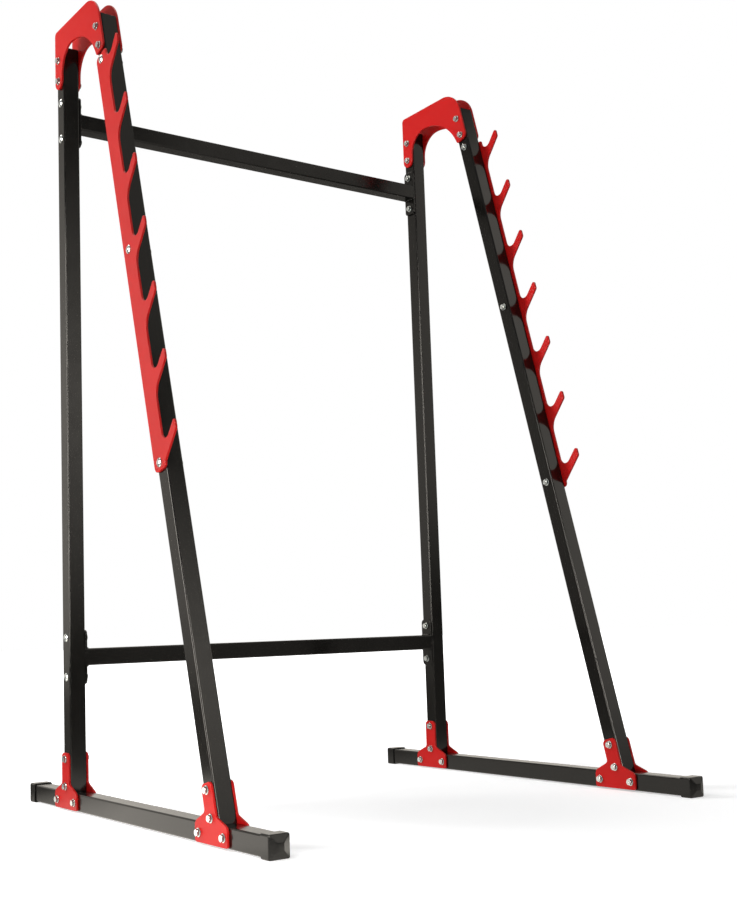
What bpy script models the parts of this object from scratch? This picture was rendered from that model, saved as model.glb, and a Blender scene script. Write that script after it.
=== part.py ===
"""Barbell storage rack: two side frames joined by two crossbars.

Metres, +Z up, front towards -Y. The origin is on the floor under the middle of the rack.
Each side frame has a foot tube with push-on end caps, a vertical rear upright, a front
upright that leans back, a pair of arched plates that tie the uprights at the top, a pair
of gussets at the foot of each upright, and a comb of seven hooks on its outer side.
Everything is bolted: the crossbars have a welded plate at each end.
"""
import math

import bmesh
import bpy
from mathutils import Matrix, Vector

# Square tube
TUBE = 0.041
TUBE_WALL = 0.002
TUBE_CORNER = 0.0025
FIT = 0.0003                      # gap between pieces that touch

# Side frames
FRAME_SPACING = 1.120             # between the middle planes of the side frames
FOOT_LENGTH = 1.142
FOOT_STAGGER = 0.0185             # the left foot sits this much further back than the right
REAR_UPRIGHT_Y = 0.352
REAR_UPRIGHT_LENGTH = 1.852
UPRIGHT_SPREAD = 0.7132           # between the uprights' centre lines, on top of the foot
LEAN = math.radians(14.85)        # of the front upright, backwards
FRONT_TOP_DROP = 0.0045           # its highest corner below the rear upright's top

# End caps of the feet
CAP_WALL = 0.0027
CAP_SLEEVE = 0.025                # length over the tube
CAP_END = 0.003
CAP_PEAK = 0.006                  # height of the hipped end
CAP_FLAT = 0.015                  # side of the square on top of it
CAP_CORNER = 0.004

# Plates
BRACKET_PLATE = 0.005
GUSSET_PLATE = 0.005
COMB_PLATE = 0.005
END_PLATE = 0.005

# Top brackets
BRACKET_RISE = 0.0491             # top edge above the rear upright
BRACKET_BOLT_DROP = 0.031         # upper bolt below the top of its upright
BRACKET_FRONT_DROP = 0.0267
BRACKET_BOLT_PITCH = 0.0538
BRACKET_LEG_MARGIN = 0.0155       # front leg's end beyond its lower bolt
BRACKET_APEX_RADIUS = 0.077
BRACKET_CORNER_RADIUS = 0.010
BRACKET_LEG_RADIUS = 0.015
BRACKET_LEG_INNER_RADIUS = 0.006
ARCH_CROWN_DROP = 0.061           # highest point of the arch below the top edge
ARCH_REAR_RADIUS = 0.060

# Gussets
GUSSET_HALF_BASE = 0.064
GUSSET_LIFT = 0.0015              # lower edge above the underside of the foot tube
GUSSET_NECK_RADIUS = 0.011
GUSSET_SHOULDER_RADIUS = 0.014
GUSSET_FILLET = 0.009
GUSSET_BASE_RADIUS = 0.006
GUSSET_BASE_PITCH = 0.098         # between the two bolts through the foot
REAR_SHOULDER_RISE = 0.0195       # where the neck starts, above the foot
REAR_NECK_LENGTH = 0.092          # top of the neck above the foot
REAR_NECK_BOLTS = (0.0775, 0.0132)
FRONT_SHOULDER_BEHIND = 0.0215
FRONT_SHOULDER_AHEAD = 0.0155
FRONT_NECK_LENGTH = 0.080
FRONT_NECK_BOLTS = (0.0661, 0.0115)
FRONT_BASE_SHIFT = 0.004          # base of the front gussets, behind the tube's centre line

# Hook combs, measured along the front upright and ahead of its centre line
COMB_DROP = 0.107                 # top of the comb below the top of the upright
COMB_OVERHANG = 0.004             # beyond the upright's rear face
COMB_EDGE = 0.0065                # front edge between hooks, ahead of the upright's face
FIRST_SEAT_DROP = 0.0293          # lowest point of the first seat, below the comb's top
LAST_SEAT_MARGIN = 0.0573         # the comb's end below the last seat
HOOK_COUNT = 7
HOOK_PITCH = 0.1626
HOOK_ANGLE = math.radians(36.5)   # of the prongs, above square to the upright
HOOK_REACH = 0.071                # tip ahead of the upright's face
HOOK_WIDTH = 0.0215
SEAT_RADIUS = 0.0185
TIP_RADIUS = 0.0055
HEEL_RADIUS = 0.008
ROOT_RADIUS = 0.045
LAST_ROOT_RADIUS = 0.008
COMB_TOP_RADIUS = 0.006
COMB_BACK_RADIUS = 0.012
COMB_END_RADIUS = 0.014
COMB_TOP_MARGIN = 0.014           # top bolt from the comb's top
COMB_END_MARGIN = 0.0178          # last bolt from the comb's lower end

# Crossbars
UPPER_BAR_DROP = 0.188            # centre line below the top of the rear uprights
LOWER_BAR_RISE = 0.3185           # centre line above the feet
END_PLATE_HEIGHT = 0.130
END_PLATE_RADIUS = 0.017
END_PLATE_BOLT_PITCH = 0.094
WELD_DEPTH = 0.001                # the bar runs this far into its end plates
VENT_DIAMETER = 0.012             # hole in each end plate, inside the bar
VENT_SIDES = 8

# Bolts
BOLT_DIAMETER = 0.008
BOLT_CLEARANCE = 0.0005           # all round, in its holes
HEAD_ACROSS = 0.013
WASHER_ACROSS = 0.018
WASHER_THICKNESS = 0.0016
HEAD_HEIGHT = 0.0069              # with the washer under it
DOME_ACROSS = 0.0206              # heads of the bolts of combs and crossbars
DOME_HEIGHT = 0.0049
DOME_RIM = 0.0007
DOME_STEPS = 3
NUT_HEIGHT = 0.0076               # with its washer
BOLT_END = 0.001                  # thread beyond the nut
BOLT_SIDES = 6

ARC_ERROR = 0.0003                # most that a facet of a round stretch lies inside it

# Heights and places that follow from the sizes above
FOOT_BOTTOM = CAP_WALL + FIT
FOOT_TOP = FOOT_BOTTOM + TUBE
UPRIGHT_BOTTOM = FOOT_TOP + FIT
REAR_TOP = UPRIGHT_BOTTOM + REAR_UPRIGHT_LENGTH
BRACKET_TOP = REAR_TOP + BRACKET_RISE
FRONT_FOOT_Y = REAR_UPRIGHT_Y - UPRIGHT_SPREAD
HALF = TUBE / 2
SIDES = {"left": -1, "right": 1}


def lean_point(along, ahead=0.0):
    """(y, z) of a point given along the front upright and ahead of its centre line."""
    y = FRONT_FOOT_Y + along * math.sin(LEAN) - ahead * math.cos(LEAN)
    z = UPRIGHT_BOTTOM + along * math.cos(LEAN) + ahead * math.sin(LEAN)
    return y, z


def lean_along(z, ahead):
    """How far along the front upright its line at that distance ahead reaches height z."""
    return (z - UPRIGHT_BOTTOM - ahead * math.sin(LEAN)) / math.cos(LEAN)


FRONT_LENGTH = lean_along(REAR_TOP - FRONT_TOP_DROP, HALF)
COMB_TOP = FRONT_LENGTH - COMB_DROP
FIRST_SEAT = COMB_TOP - FIRST_SEAT_DROP
COMB_BOTTOM = FIRST_SEAT - (HOOK_COUNT - 1) * HOOK_PITCH - LAST_SEAT_MARGIN
UPPER_BAR_Z = REAR_TOP - UPPER_BAR_DROP
LOWER_BAR_Z = FOOT_TOP + LOWER_BAR_RISE


def clear_scene():
    for obj in list(bpy.data.objects):
        bpy.data.objects.remove(obj, do_unlink=True)


def make_material(name, color, roughness, metallic=0.0):
    material = bpy.data.materials.new(name)
    material.use_nodes = True
    shader = material.node_tree.nodes["Principled BSDF"]
    shader.inputs["Base Color"].default_value = (*color, 1.0)
    shader.inputs["Roughness"].default_value = roughness
    shader.inputs["Metallic"].default_value = metallic
    return material


def facet_count(radius, turn):
    """How many facets a round stretch needs, for a turn in radians."""
    widest = 2 * math.acos(1 - min(ARC_ERROR / radius, 0.5))
    return math.ceil(abs(turn) / widest)


def arc(center, radius, start, end):
    """Points round a centre from one angle to another, in radians."""
    steps = facet_count(radius, end - start)
    turns = [start + (end - start) * i / steps for i in range(steps + 1)]
    return [(center[0] + radius * math.cos(t), center[1] + radius * math.sin(t)) for t in turns]


def rounded(corners):
    """Outline through corners (a, b, radius), each replaced by its arc.

    Where an edge is too short for the arcs at its ends, both shrink to fit it.
    """
    count = len(corners)
    points = [Vector(corner[:2]) for corner in corners]
    halves, reaches = [], []
    for i, corner in enumerate(corners):
        back = points[i - 1] - points[i]
        onward = points[(i + 1) % count] - points[i]
        halves.append(back.angle(onward) / 2)
        reaches.append(corner[2] / math.tan(halves[i]))
    limits = [1.0] * count
    for i in range(count):
        both = reaches[i - 1] + reaches[i]
        share = (points[i] - points[i - 1]).length / both if both else 1.0
        limits[i - 1] = min(limits[i - 1], share)
        limits[i] = min(limits[i], share)
    outline = []
    for i, point in enumerate(points):
        reach = reaches[i] * limits[i]
        if reach == 0:
            outline.append(tuple(point))
            continue
        back = (points[i - 1] - point).normalized()
        onward = (points[(i + 1) % count] - point).normalized()
        radius = reach * math.tan(halves[i])
        center = point + (back + onward).normalized() * radius / math.sin(halves[i])
        start = point + back * reach - center
        turn = math.pi - 2 * halves[i]
        turn *= math.copysign(1, back.y * onward.x - back.x * onward.y)
        steps = facet_count(radius, turn)
        for step in range(steps + 1):
            outline.append(tuple(center + Matrix.Rotation(turn * step / steps, 2) @ start))
    return outline


def rectangle(width, height, corner=0.0):
    a, b = width / 2, height / 2
    return rounded([(-a, -b, corner), (a, -b, corner), (a, b, corner), (-a, b, corner)])


def polygon(radius, sides):
    turns = [2 * math.pi * i / sides for i in range(sides)]
    return [(radius * math.cos(t), radius * math.sin(t)) for t in turns]


def bridge(bm, ring_a, ring_b):
    """Faces between two rings of vertices, which may have unlike counts."""
    count_a, count_b = len(ring_a), len(ring_b)
    i = j = 0
    while i < count_a or j < count_b:
        face = [ring_b[j % count_b], ring_a[i % count_a]]
        step_a = (i + 1) * count_b <= (j + 1) * count_a
        step_b = (j + 1) * count_a <= (i + 1) * count_b
        if step_a:
            i += 1
            face.append(ring_a[i % count_a])
        if step_b:
            j += 1
            face.append(ring_b[j % count_b])
        bm.faces.new(face)


def loft(rings, open_through=False):
    """Mesh over rings of (x, y, z) points: capped at both ends, or closed back on itself."""
    bm = bmesh.new()
    loops = [[bm.verts.new(point) for point in ring] for ring in rings]
    for lower, upper in zip(loops, loops[1:]):
        bridge(bm, lower, upper)
    if open_through:
        bridge(bm, loops[-1], loops[0])
    else:
        bm.faces.new(loops[0])
        bm.faces.new(loops[-1])
    bmesh.ops.recalc_face_normals(bm, faces=bm.faces)
    return bm


def make_mesh(name, bm):
    mesh = bpy.data.meshes.new(name)
    bm.to_mesh(mesh)
    bm.free()
    mesh.shade_smooth()
    mesh.set_sharp_from_angle(angle=math.radians(35))
    return mesh


def add_object(name, mesh, material, location=(0, 0, 0), rotation=(0, 0, 0)):
    if not mesh.materials:
        mesh.materials.append(material)
    obj = bpy.data.objects.new(name, mesh)
    obj.location = location
    obj.rotation_euler = rotation
    bpy.context.collection.objects.link(obj)
    return obj


def add_cutter(name, mesh, location=(0, 0, 0)):
    """A helper body that other pieces are joined to or cut with."""
    obj = bpy.data.objects.new(name, mesh)
    obj.location = location
    obj.hide_render = True
    obj.display_type = "WIRE"
    bpy.context.collection.objects.link(obj)
    return obj


def combine(obj, other, operation):
    modifier = obj.modifiers.new(f"{operation.lower()} {other.name}", "BOOLEAN")
    modifier.operation = operation
    modifier.solver = "EXACT"
    modifier.object = other


def tube_mesh(name, length, bottom_slope=0.0):
    """Hollow square tube along local Z, its lower end cut at a slope along local Y."""
    inside = TUBE - 2 * TUBE_WALL
    outer, inner = rectangle(TUBE, TUBE, TUBE_CORNER), rectangle(inside, inside)
    bottoms = [[(x, y, y * bottom_slope) for x, y in ring] for ring in (outer, inner)]
    tops = [[(x, y, length) for x, y in ring] for ring in (outer, inner)]
    return make_mesh(name, loft([bottoms[0], tops[0], tops[1], bottoms[1]], open_through=True))


def prism_mesh(name, outline, length):
    """Prism or plate of a (y, z) outline, its middle at x = 0."""
    rings = [[(x, y, z) for y, z in outline] for x in (-length / 2, length / 2)]
    return make_mesh(name, loft(rings))


def bracket_bolts():
    """(y, z) of the bolts through the top brackets."""
    bolts = {}
    for level, drop in (("upper", 0.0), ("lower", BRACKET_BOLT_PITCH)):
        bolts[f"rear_{level}"] = (REAR_UPRIGHT_Y, REAR_TOP - BRACKET_BOLT_DROP - drop)
        bolts[f"front_{level}"] = lean_point(FRONT_LENGTH - BRACKET_FRONT_DROP - drop)
    return bolts


def gusset_bolts(end):
    """(y, z) of the bolts through the gussets of the rear or front upright."""
    middle_z = FOOT_BOTTOM + HALF
    if end == "rear":
        top, neck = [(REAR_UPRIGHT_Y, FOOT_TOP + rise) for rise in REAR_NECK_BOLTS]
        base_y = REAR_UPRIGHT_Y
    else:
        top, neck = [lean_point(along) for along in FRONT_NECK_BOLTS]
        base_y = FRONT_FOOT_Y + FRONT_BASE_SHIFT
    return {"top": top, "neck": neck,
            "back": (base_y + GUSSET_BASE_PITCH / 2, middle_z),
            "front": (base_y - GUSSET_BASE_PITCH / 2, middle_z)}


def comb_bolts():
    """Distances along the front upright of the comb's bolts."""
    top, bottom = COMB_TOP - COMB_TOP_MARGIN, COMB_BOTTOM + COMB_END_MARGIN
    return [top, (top + bottom) / 2, bottom]


def crossbar_bolts(bar_z):
    return {"upper": (REAR_UPRIGHT_Y, bar_z + END_PLATE_BOLT_PITCH / 2),
            "lower": (REAR_UPRIGHT_Y, bar_z - END_PLATE_BOLT_PITCH / 2)}


def all_bolt_axes():
    axes = list(bracket_bolts().values()) + [lean_point(along) for along in comb_bolts()]
    for end in ("rear", "front"):
        axes += gusset_bolts(end).values()
    for bar_z in (UPPER_BAR_Z, LOWER_BAR_Z):
        axes += crossbar_bolts(bar_z).values()
    return axes


def bolt_section(radius):
    """Bolt outline in the (y, z) plane, with two corners upright."""
    return [(y, z) for z, y in polygon(radius, BOLT_SIDES)]


def make_drill():
    """One body per bolt axis, right across both side frames."""
    section = bolt_section(BOLT_DIAMETER / 2 + BOLT_CLEARANCE)
    reach = FRAME_SPACING / 2 + 2 * TUBE
    bm = bmesh.new()
    for axis_y, axis_z in all_bolt_axes():
        ends = []
        for x in (-reach, reach):
            ends.append([bm.verts.new((x, axis_y + y, axis_z + z)) for y, z in section])
            bm.faces.new(ends[-1])
        bridge(bm, *ends)
    bmesh.ops.recalc_face_normals(bm, faces=bm.faces)
    return add_cutter("bolt_drill", make_mesh("bolt_drill", bm))


def bracket_outline():
    """Arched top bracket, from its rear leg round to its front leg and over the top."""
    bolts = bracket_bolts()
    crown_z = BRACKET_TOP - ARCH_CROWN_DROP
    crown_y = REAR_UPRIGHT_Y - HALF - ARCH_REAR_RADIUS
    leg_end = FRONT_LENGTH - BRACKET_FRONT_DROP - BRACKET_BOLT_PITCH - BRACKET_LEG_MARGIN
    leg_y, leg_z = lean_point(leg_end, -HALF)
    half_chord, sag = crown_y - leg_y, crown_z - leg_z
    front_radius = (half_chord ** 2 + sag ** 2) / (2 * sag)
    front_turn = 2 * math.atan2(sag, half_chord)
    quarter = math.pi / 2
    smooth = arc(bolts["rear_lower"], HALF, 0, -math.pi)
    smooth += arc((crown_y, crown_z - ARCH_REAR_RADIUS), ARCH_REAR_RADIUS, 0, quarter)
    front_center = (crown_y, crown_z - front_radius)
    smooth += arc(front_center, front_radius, quarter, quarter + front_turn)[1:-1]
    corners = [(y, z, 0.0) for y, z in smooth]
    corners.append((leg_y, leg_z, BRACKET_LEG_INNER_RADIUS))
    corners.append((*lean_point(leg_end, HALF), BRACKET_LEG_RADIUS))
    apex = lean_point(lean_along(BRACKET_TOP, HALF), HALF)
    corners.append((*apex, BRACKET_APEX_RADIUS))
    corners.append((REAR_UPRIGHT_Y + HALF, BRACKET_TOP, BRACKET_CORNER_RADIUS))
    return rounded(corners)


def gusset_outline(end):
    """Gusset: a neck on the upright over a wide base on the side of the foot."""
    if end == "rear":
        base_y = REAR_UPRIGHT_Y
        neck_top = FOOT_TOP + REAR_NECK_LENGTH
        shoulder_z = FOOT_TOP + REAR_SHOULDER_RISE
        neck = {side: [(base_y + side * HALF, z) for z in (shoulder_z, neck_top)]
                for side in (-1, 1)}
    else:
        base_y = FRONT_FOOT_Y + FRONT_BASE_SHIFT
        neck = {}
        for side, rise in ((-1, FRONT_SHOULDER_AHEAD), (1, FRONT_SHOULDER_BEHIND)):
            shoulder = lean_along(FOOT_TOP + rise, -side * HALF)
            neck[side] = [lean_point(along, -side * HALF)
                          for along in (shoulder, FRONT_NECK_LENGTH)]
    corners = []
    for side in (1, -1):
        edge_y = base_y + side * GUSSET_HALF_BASE
        stretch = [(edge_y, FOOT_BOTTOM + GUSSET_LIFT, GUSSET_BASE_RADIUS),
                   (edge_y, FOOT_TOP, GUSSET_SHOULDER_RADIUS),
                   (*neck[side][0], GUSSET_FILLET),
                   (*neck[side][1], GUSSET_NECK_RADIUS)]
        corners += stretch if side == 1 else reversed(stretch)
    return rounded(corners)


def hook_corners(seat, root_radius):
    """Corners (ahead, along, radius) of one hook, from the comb's edge above it down."""
    edge = HALF + COMB_EDGE
    tip = HALF + HOOK_REACH
    slope = math.tan(HOOK_ANGLE)
    low = SEAT_RADIUS * (1 - 1 / math.cos(HOOK_ANGLE) - slope)
    crook = seat + low
    heel = crook - HOOK_WIDTH / math.cos(HOOK_ANGLE)
    rise = (tip - edge) * slope
    return [(edge, crook, SEAT_RADIUS), (tip, crook + rise, TIP_RADIUS),
            (tip, heel + rise, HEEL_RADIUS), (edge, heel, root_radius)]


def comb_outline():
    """Comb with its hooks, in (-ahead, along) coordinates of the front upright."""
    back = -HALF - COMB_OVERHANG
    edge = HALF + COMB_EDGE
    corners = [(back, COMB_TOP, COMB_BACK_RADIUS), (edge, COMB_TOP, COMB_TOP_RADIUS)]
    for i in range(HOOK_COUNT - 1):
        corners += hook_corners(FIRST_SEAT - i * HOOK_PITCH, ROOT_RADIUS)
    corners += hook_corners(FIRST_SEAT - (HOOK_COUNT - 1) * HOOK_PITCH, LAST_ROOT_RADIUS)
    corners += [(edge, COMB_BOTTOM, COMB_END_RADIUS), (back, COMB_BOTTOM, COMB_END_RADIUS)]
    return rounded([(-ahead, along, radius) for ahead, along, radius in corners])


def hexagon_on_washer(height):
    """Stations (radius, z, sides) of a hexagon on a washer, from the top down to z = 0."""
    hexagon = HEAD_ACROSS / 2 / math.cos(math.pi / 6)
    disc = WASHER_ACROSS / 2
    sides = facet_count(disc, 2 * math.pi)
    return [(hexagon, height, BOLT_SIDES), (hexagon, WASHER_THICKNESS, BOLT_SIDES),
            (disc, WASHER_THICKNESS, sides), (disc, 0, sides)]


def hexagon_head():
    """Stations of a hexagon head on its washer."""
    return hexagon_on_washer(HEAD_HEIGHT)


def domed_head():
    """Stations of a round head with a domed top, from the top down to z = 0."""
    edge, rise = DOME_ACROSS / 2, DOME_HEIGHT - DOME_RIM
    sphere = (edge ** 2 + rise ** 2) / 2 / rise
    sides = facet_count(edge, 2 * math.pi)
    tops = []
    for i in range(1, DOME_STEPS + 1):
        turn = math.asin(edge / sphere) * i / DOME_STEPS
        tops.append((sphere * math.sin(turn), DOME_HEIGHT - sphere * (1 - math.cos(turn)), sides))
    return tops + [(edge, 0, sides)]


def bolt_mesh(name, grip, head):
    """Bolt along local Z: head above 0, shank over the grip, nut and thread end below."""
    shank = BOLT_DIAMETER / 2
    seat = -grip - FIT
    nut = [(radius, seat - z, sides) for radius, z, sides in hexagon_on_washer(NUT_HEIGHT)]
    stations = [(radius, z + FIT, sides) for radius, z, sides in head]
    stations += [(shank, FIT, BOLT_SIDES), (shank, seat, BOLT_SIDES), *reversed(nut)]
    stations += [(shank, z, BOLT_SIDES) for z in (seat - NUT_HEIGHT, seat - NUT_HEIGHT - BOLT_END)]
    rings = [[(x, y, z) for x, y in polygon(radius, sides)] for radius, z, sides in stations]
    return make_mesh(name, loft(rings))


def cap_mesh(name):
    """End cap along local Z: a sleeve open at 0, closed by a low hipped end."""
    depth = CAP_SLEEVE + FIT
    rim = depth + CAP_END
    bore = TUBE + 2 * FIT
    size = bore + 2 * CAP_WALL
    inner, outer = rectangle(bore, bore, TUBE_CORNER), rectangle(size, size, CAP_CORNER)
    flat = rectangle(CAP_FLAT, CAP_FLAT)
    stations = [(inner, depth), (inner, 0), (outer, 0), (outer, rim), (flat, rim + CAP_PEAK)]
    return make_mesh(name, loft([[(x, y, z) for x, y in ring] for ring, z in stations]))


def place_bolts(prefix, axes, mesh, material, x, side):
    """Bolts with their heads outside, at x on that side's frame."""
    turn = (0, side * math.pi / 2, 0)
    for name, (y, z) in axes.items():
        add_object(f"{prefix}_{name}", mesh, material, (side * x, y, z), turn)


def add_foot(label, side, meshes, materials, drill):
    x = side * FRAME_SPACING / 2
    middle = -side * FOOT_STAGGER / 2
    z = FOOT_BOTTOM + HALF
    tube = add_object(f"{label}_foot_tube", meshes["foot"], materials["black"],
                      (x, middle - FOOT_LENGTH / 2, z), (-math.pi / 2, 0, 0))
    combine(tube, drill, "DIFFERENCE")
    for end, sign in (("front", -1), ("rear", 1)):
        mouth = middle + sign * (FOOT_LENGTH / 2 - CAP_SLEEVE)
        add_object(f"{label}_foot_cap_{end}", meshes["cap"], materials["plastic"],
                   (x, mouth, z), (-sign * math.pi / 2, 0, 0))


def add_uprights(label, side, meshes, materials, drill):
    x = side * FRAME_SPACING / 2
    rear = add_object(f"{label}_rear_upright", meshes["rear_upright"], materials["black"],
                      (x, REAR_UPRIGHT_Y, UPRIGHT_BOTTOM))
    front = add_object(f"{label}_front_upright", meshes["front_upright"], materials["black"],
                       (x, FRONT_FOOT_Y, UPRIGHT_BOTTOM), (-LEAN, 0, 0))
    for upright in (rear, front):
        combine(upright, drill, "DIFFERENCE")


def add_plates(label, side, meshes, materials, drill):
    """Brackets and gussets on the outer and inner sides of the frame's tubes."""
    thickness = {"top_bracket": BRACKET_PLATE, "rear_gusset": GUSSET_PLATE,
                 "front_gusset": GUSSET_PLATE}
    for kind, plate in thickness.items():
        for place, outward in (("outer", 1), ("inner", -1)):
            x = FRAME_SPACING / 2 + outward * (HALF + FIT + plate / 2)
            obj = add_object(f"{label}_{kind}_{place}", meshes[kind], materials["red"],
                             (side * x, 0, 0))
            combine(obj, drill, "DIFFERENCE")


def add_comb(label, side, meshes, materials):
    """Hook comb on the frame's outer side, in one piece with its three bolts."""
    x = FRAME_SPACING / 2 + HALF + FIT + COMB_PLATE / 2
    comb = add_object(f"{label}_hook_comb", meshes["comb"], materials["red"],
                      (side * x, FRONT_FOOT_Y, UPRIGHT_BOTTOM), (-LEAN, 0, 0))
    for i, along in enumerate(comb_bolts()):
        y, z = lean_point(along)
        bolt = add_cutter(f"{label}_comb_bolt_{i + 1}", meshes["comb_bolt"],
                          (side * (x + COMB_PLATE / 2), y, z))
        bolt.rotation_euler = (0, side * math.pi / 2, 0)
        combine(comb, bolt, "UNION")


def add_side_frame(label, side, meshes, materials, drill):
    add_foot(label, side, meshes, materials, drill)
    add_uprights(label, side, meshes, materials, drill)
    add_plates(label, side, meshes, materials, drill)
    add_comb(label, side, meshes, materials)
    outer = FRAME_SPACING / 2 + HALF + FIT
    place_bolts(f"{label}_bracket_bolt", bracket_bolts(), meshes["bracket_bolt"],
                materials["zinc"], outer + BRACKET_PLATE, side)
    for end in ("rear", "front"):
        place_bolts(f"{label}_{end}_gusset_bolt", gusset_bolts(end), meshes["gusset_bolt"],
                    materials["zinc"], outer + GUSSET_PLATE, side)


def add_crossbar(name, bar_z, meshes, materials, drill):
    """Tube with a plate welded to each end, between the rear uprights."""
    face = FRAME_SPACING / 2 - HALF - FIT
    length = 2 * (face - END_PLATE + WELD_DEPTH)
    bar = add_object(name, tube_mesh(name, length), materials["black"],
                     (-length / 2, REAR_UPRIGHT_Y, bar_z), (0, math.pi / 2, 0))
    outline = rectangle(TUBE, END_PLATE_HEIGHT, END_PLATE_RADIUS)
    plate = prism_mesh(f"{name}_end_plate", outline, END_PLATE)
    for label, side in SIDES.items():
        end = add_cutter(f"{name}_plate_{label}", plate,
                         (side * (face - END_PLATE / 2), REAR_UPRIGHT_Y, bar_z))
        combine(bar, end, "UNION")
    vent = prism_mesh(f"{name}_vent", polygon(VENT_DIAMETER / 2, VENT_SIDES), 2 * (face + FIT))
    combine(bar, add_cutter(f"{name}_vent", vent, (0, REAR_UPRIGHT_Y, bar_z)), "DIFFERENCE")
    combine(bar, drill, "DIFFERENCE")
    for label, side in SIDES.items():
        place_bolts(f"{label}_{name}_bolt", crossbar_bolts(bar_z), meshes["crossbar_bolt"],
                    materials["zinc"], FRAME_SPACING / 2 + HALF, side)


def make_shared_meshes():
    """Meshes that both side frames use."""
    both_plates = 2 * FIT + TUBE
    return {
        "foot": tube_mesh("foot", FOOT_LENGTH),
        "rear_upright": tube_mesh("rear_upright", REAR_UPRIGHT_LENGTH),
        "front_upright": tube_mesh("front_upright", FRONT_LENGTH, math.tan(LEAN)),
        "cap": cap_mesh("cap"),
        "top_bracket": prism_mesh("top_bracket", bracket_outline(), BRACKET_PLATE),
        "rear_gusset": prism_mesh("rear_gusset", gusset_outline("rear"), GUSSET_PLATE),
        "front_gusset": prism_mesh("front_gusset", gusset_outline("front"), GUSSET_PLATE),
        "comb": prism_mesh("comb", comb_outline(), COMB_PLATE),
        "bracket_bolt": bolt_mesh("bracket_bolt", both_plates + 2 * BRACKET_PLATE, hexagon_head()),
        "gusset_bolt": bolt_mesh("gusset_bolt", both_plates + 2 * GUSSET_PLATE, hexagon_head()),
        "comb_bolt": bolt_mesh("comb_bolt", COMB_PLATE + FIT + TUBE, domed_head()),
        "crossbar_bolt": bolt_mesh("crossbar_bolt", END_PLATE + FIT + TUBE, domed_head()),
    }


def main():
    clear_scene()
    materials = {
        "black": make_material("black powder coat", (0.020, 0.019, 0.018), 0.38),
        "red": make_material("red powder coat", (0.66, 0.030, 0.028), 0.42),
        "plastic": make_material("black plastic", (0.012, 0.012, 0.012), 0.32),
        "zinc": make_material("zinc plate", (0.62, 0.63, 0.64), 0.28, 1.0),
    }
    drill = make_drill()
    meshes = make_shared_meshes()
    for label, side in SIDES.items():
        add_side_frame(label, side, meshes, materials, drill)
    add_crossbar("upper_crossbar", UPPER_BAR_Z, meshes, materials, drill)
    add_crossbar("lower_crossbar", LOWER_BAR_Z, meshes, materials, drill)


main()
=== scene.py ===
"""Barbell storage rack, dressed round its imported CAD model.

Two A-shaped side frames of square tube stand on capped feet. Arched plates tie their
uprights at the top, gussets hold them at the foot, and a comb of seven hooks is bolted to
the outer side of each leaning upright. Two crossbars with welded end plates join the
frames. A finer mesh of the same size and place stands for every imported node.
"""
import logging
import math
from collections.abc import Iterable, Sequence
from dataclasses import dataclass, field
from enum import Enum

import bmesh
import bpy
from mathutils import Matrix, Vector


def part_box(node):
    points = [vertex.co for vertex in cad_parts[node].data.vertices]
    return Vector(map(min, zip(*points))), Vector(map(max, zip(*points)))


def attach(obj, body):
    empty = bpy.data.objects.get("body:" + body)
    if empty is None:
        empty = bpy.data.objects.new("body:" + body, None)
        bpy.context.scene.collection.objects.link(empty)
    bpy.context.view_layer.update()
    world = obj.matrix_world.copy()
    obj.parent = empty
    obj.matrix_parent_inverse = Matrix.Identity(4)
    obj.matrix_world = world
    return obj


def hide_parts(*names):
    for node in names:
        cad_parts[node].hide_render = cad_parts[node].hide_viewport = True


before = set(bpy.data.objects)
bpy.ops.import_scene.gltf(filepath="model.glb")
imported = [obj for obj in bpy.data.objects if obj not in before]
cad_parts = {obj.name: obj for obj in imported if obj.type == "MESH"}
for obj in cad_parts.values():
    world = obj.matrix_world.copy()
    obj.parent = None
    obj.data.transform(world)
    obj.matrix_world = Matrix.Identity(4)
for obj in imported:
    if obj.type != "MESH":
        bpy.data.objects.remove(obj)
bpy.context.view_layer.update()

log = logging.getLogger("rack")

Flat = tuple[float, float]
Corner = tuple[float, float, float]
Color = tuple[float, float, float]

ARC_ERROR = 0.00003               # most that a facet of a round stretch lies inside it
BOLT_FACETS = 24
SHARP_ANGLE = math.radians(38)    # faces that meet at more than this keep a crisp edge
EASED_ANGLE = math.radians(50)    # edges sharper than this are rounded off
FLAT_WEIGHT = 80                  # how firmly large faces keep their own direction
NEAR = 1e-5                       # points of a mesh that are closer than this become one
SAME = 1e-6                       # the same for an outline and for a tube's section
QUARTER = math.pi / 2
SIXTH = math.pi / 3
WHITE = (1.0, 1.0, 1.0, 1.0)
WARM = (1.0, 0.94, 0.85, 1.0)     # tint of the light that shiny faces mirror


class Side(Enum):
    """The two side frames, by the sign of x on which each stands."""

    LEFT = -1
    RIGHT = 1

    @property
    def label(self) -> str:
        """The word that this side's pieces start with."""
        return self.name.lower()


class Face(Enum):
    """The faces of a side frame that plates are bolted to, by their sign away from the middle."""

    OUTER = 1
    INNER = -1


class End(Enum):
    """The two ends of a foot, by the sign of y."""

    FRONT = -1
    REAR = 1


class Slot(Enum):
    """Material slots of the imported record."""

    BLACK = "black"
    RED = "red"
    PLASTIC = "plastic"
    ZINC = "zinc"


@dataclass(frozen=True)
class Patches:
    """Soft patches that a noise makes, one kind of them."""

    size: float                   # of a patch
    detail: float = 2.0           # how many finer noises lie on it
    distortion: float = 0.0
    start: float = 0.3            # strength of the noise at which a patch begins
    full: float = 0.7             # and at which it has its full effect


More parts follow.
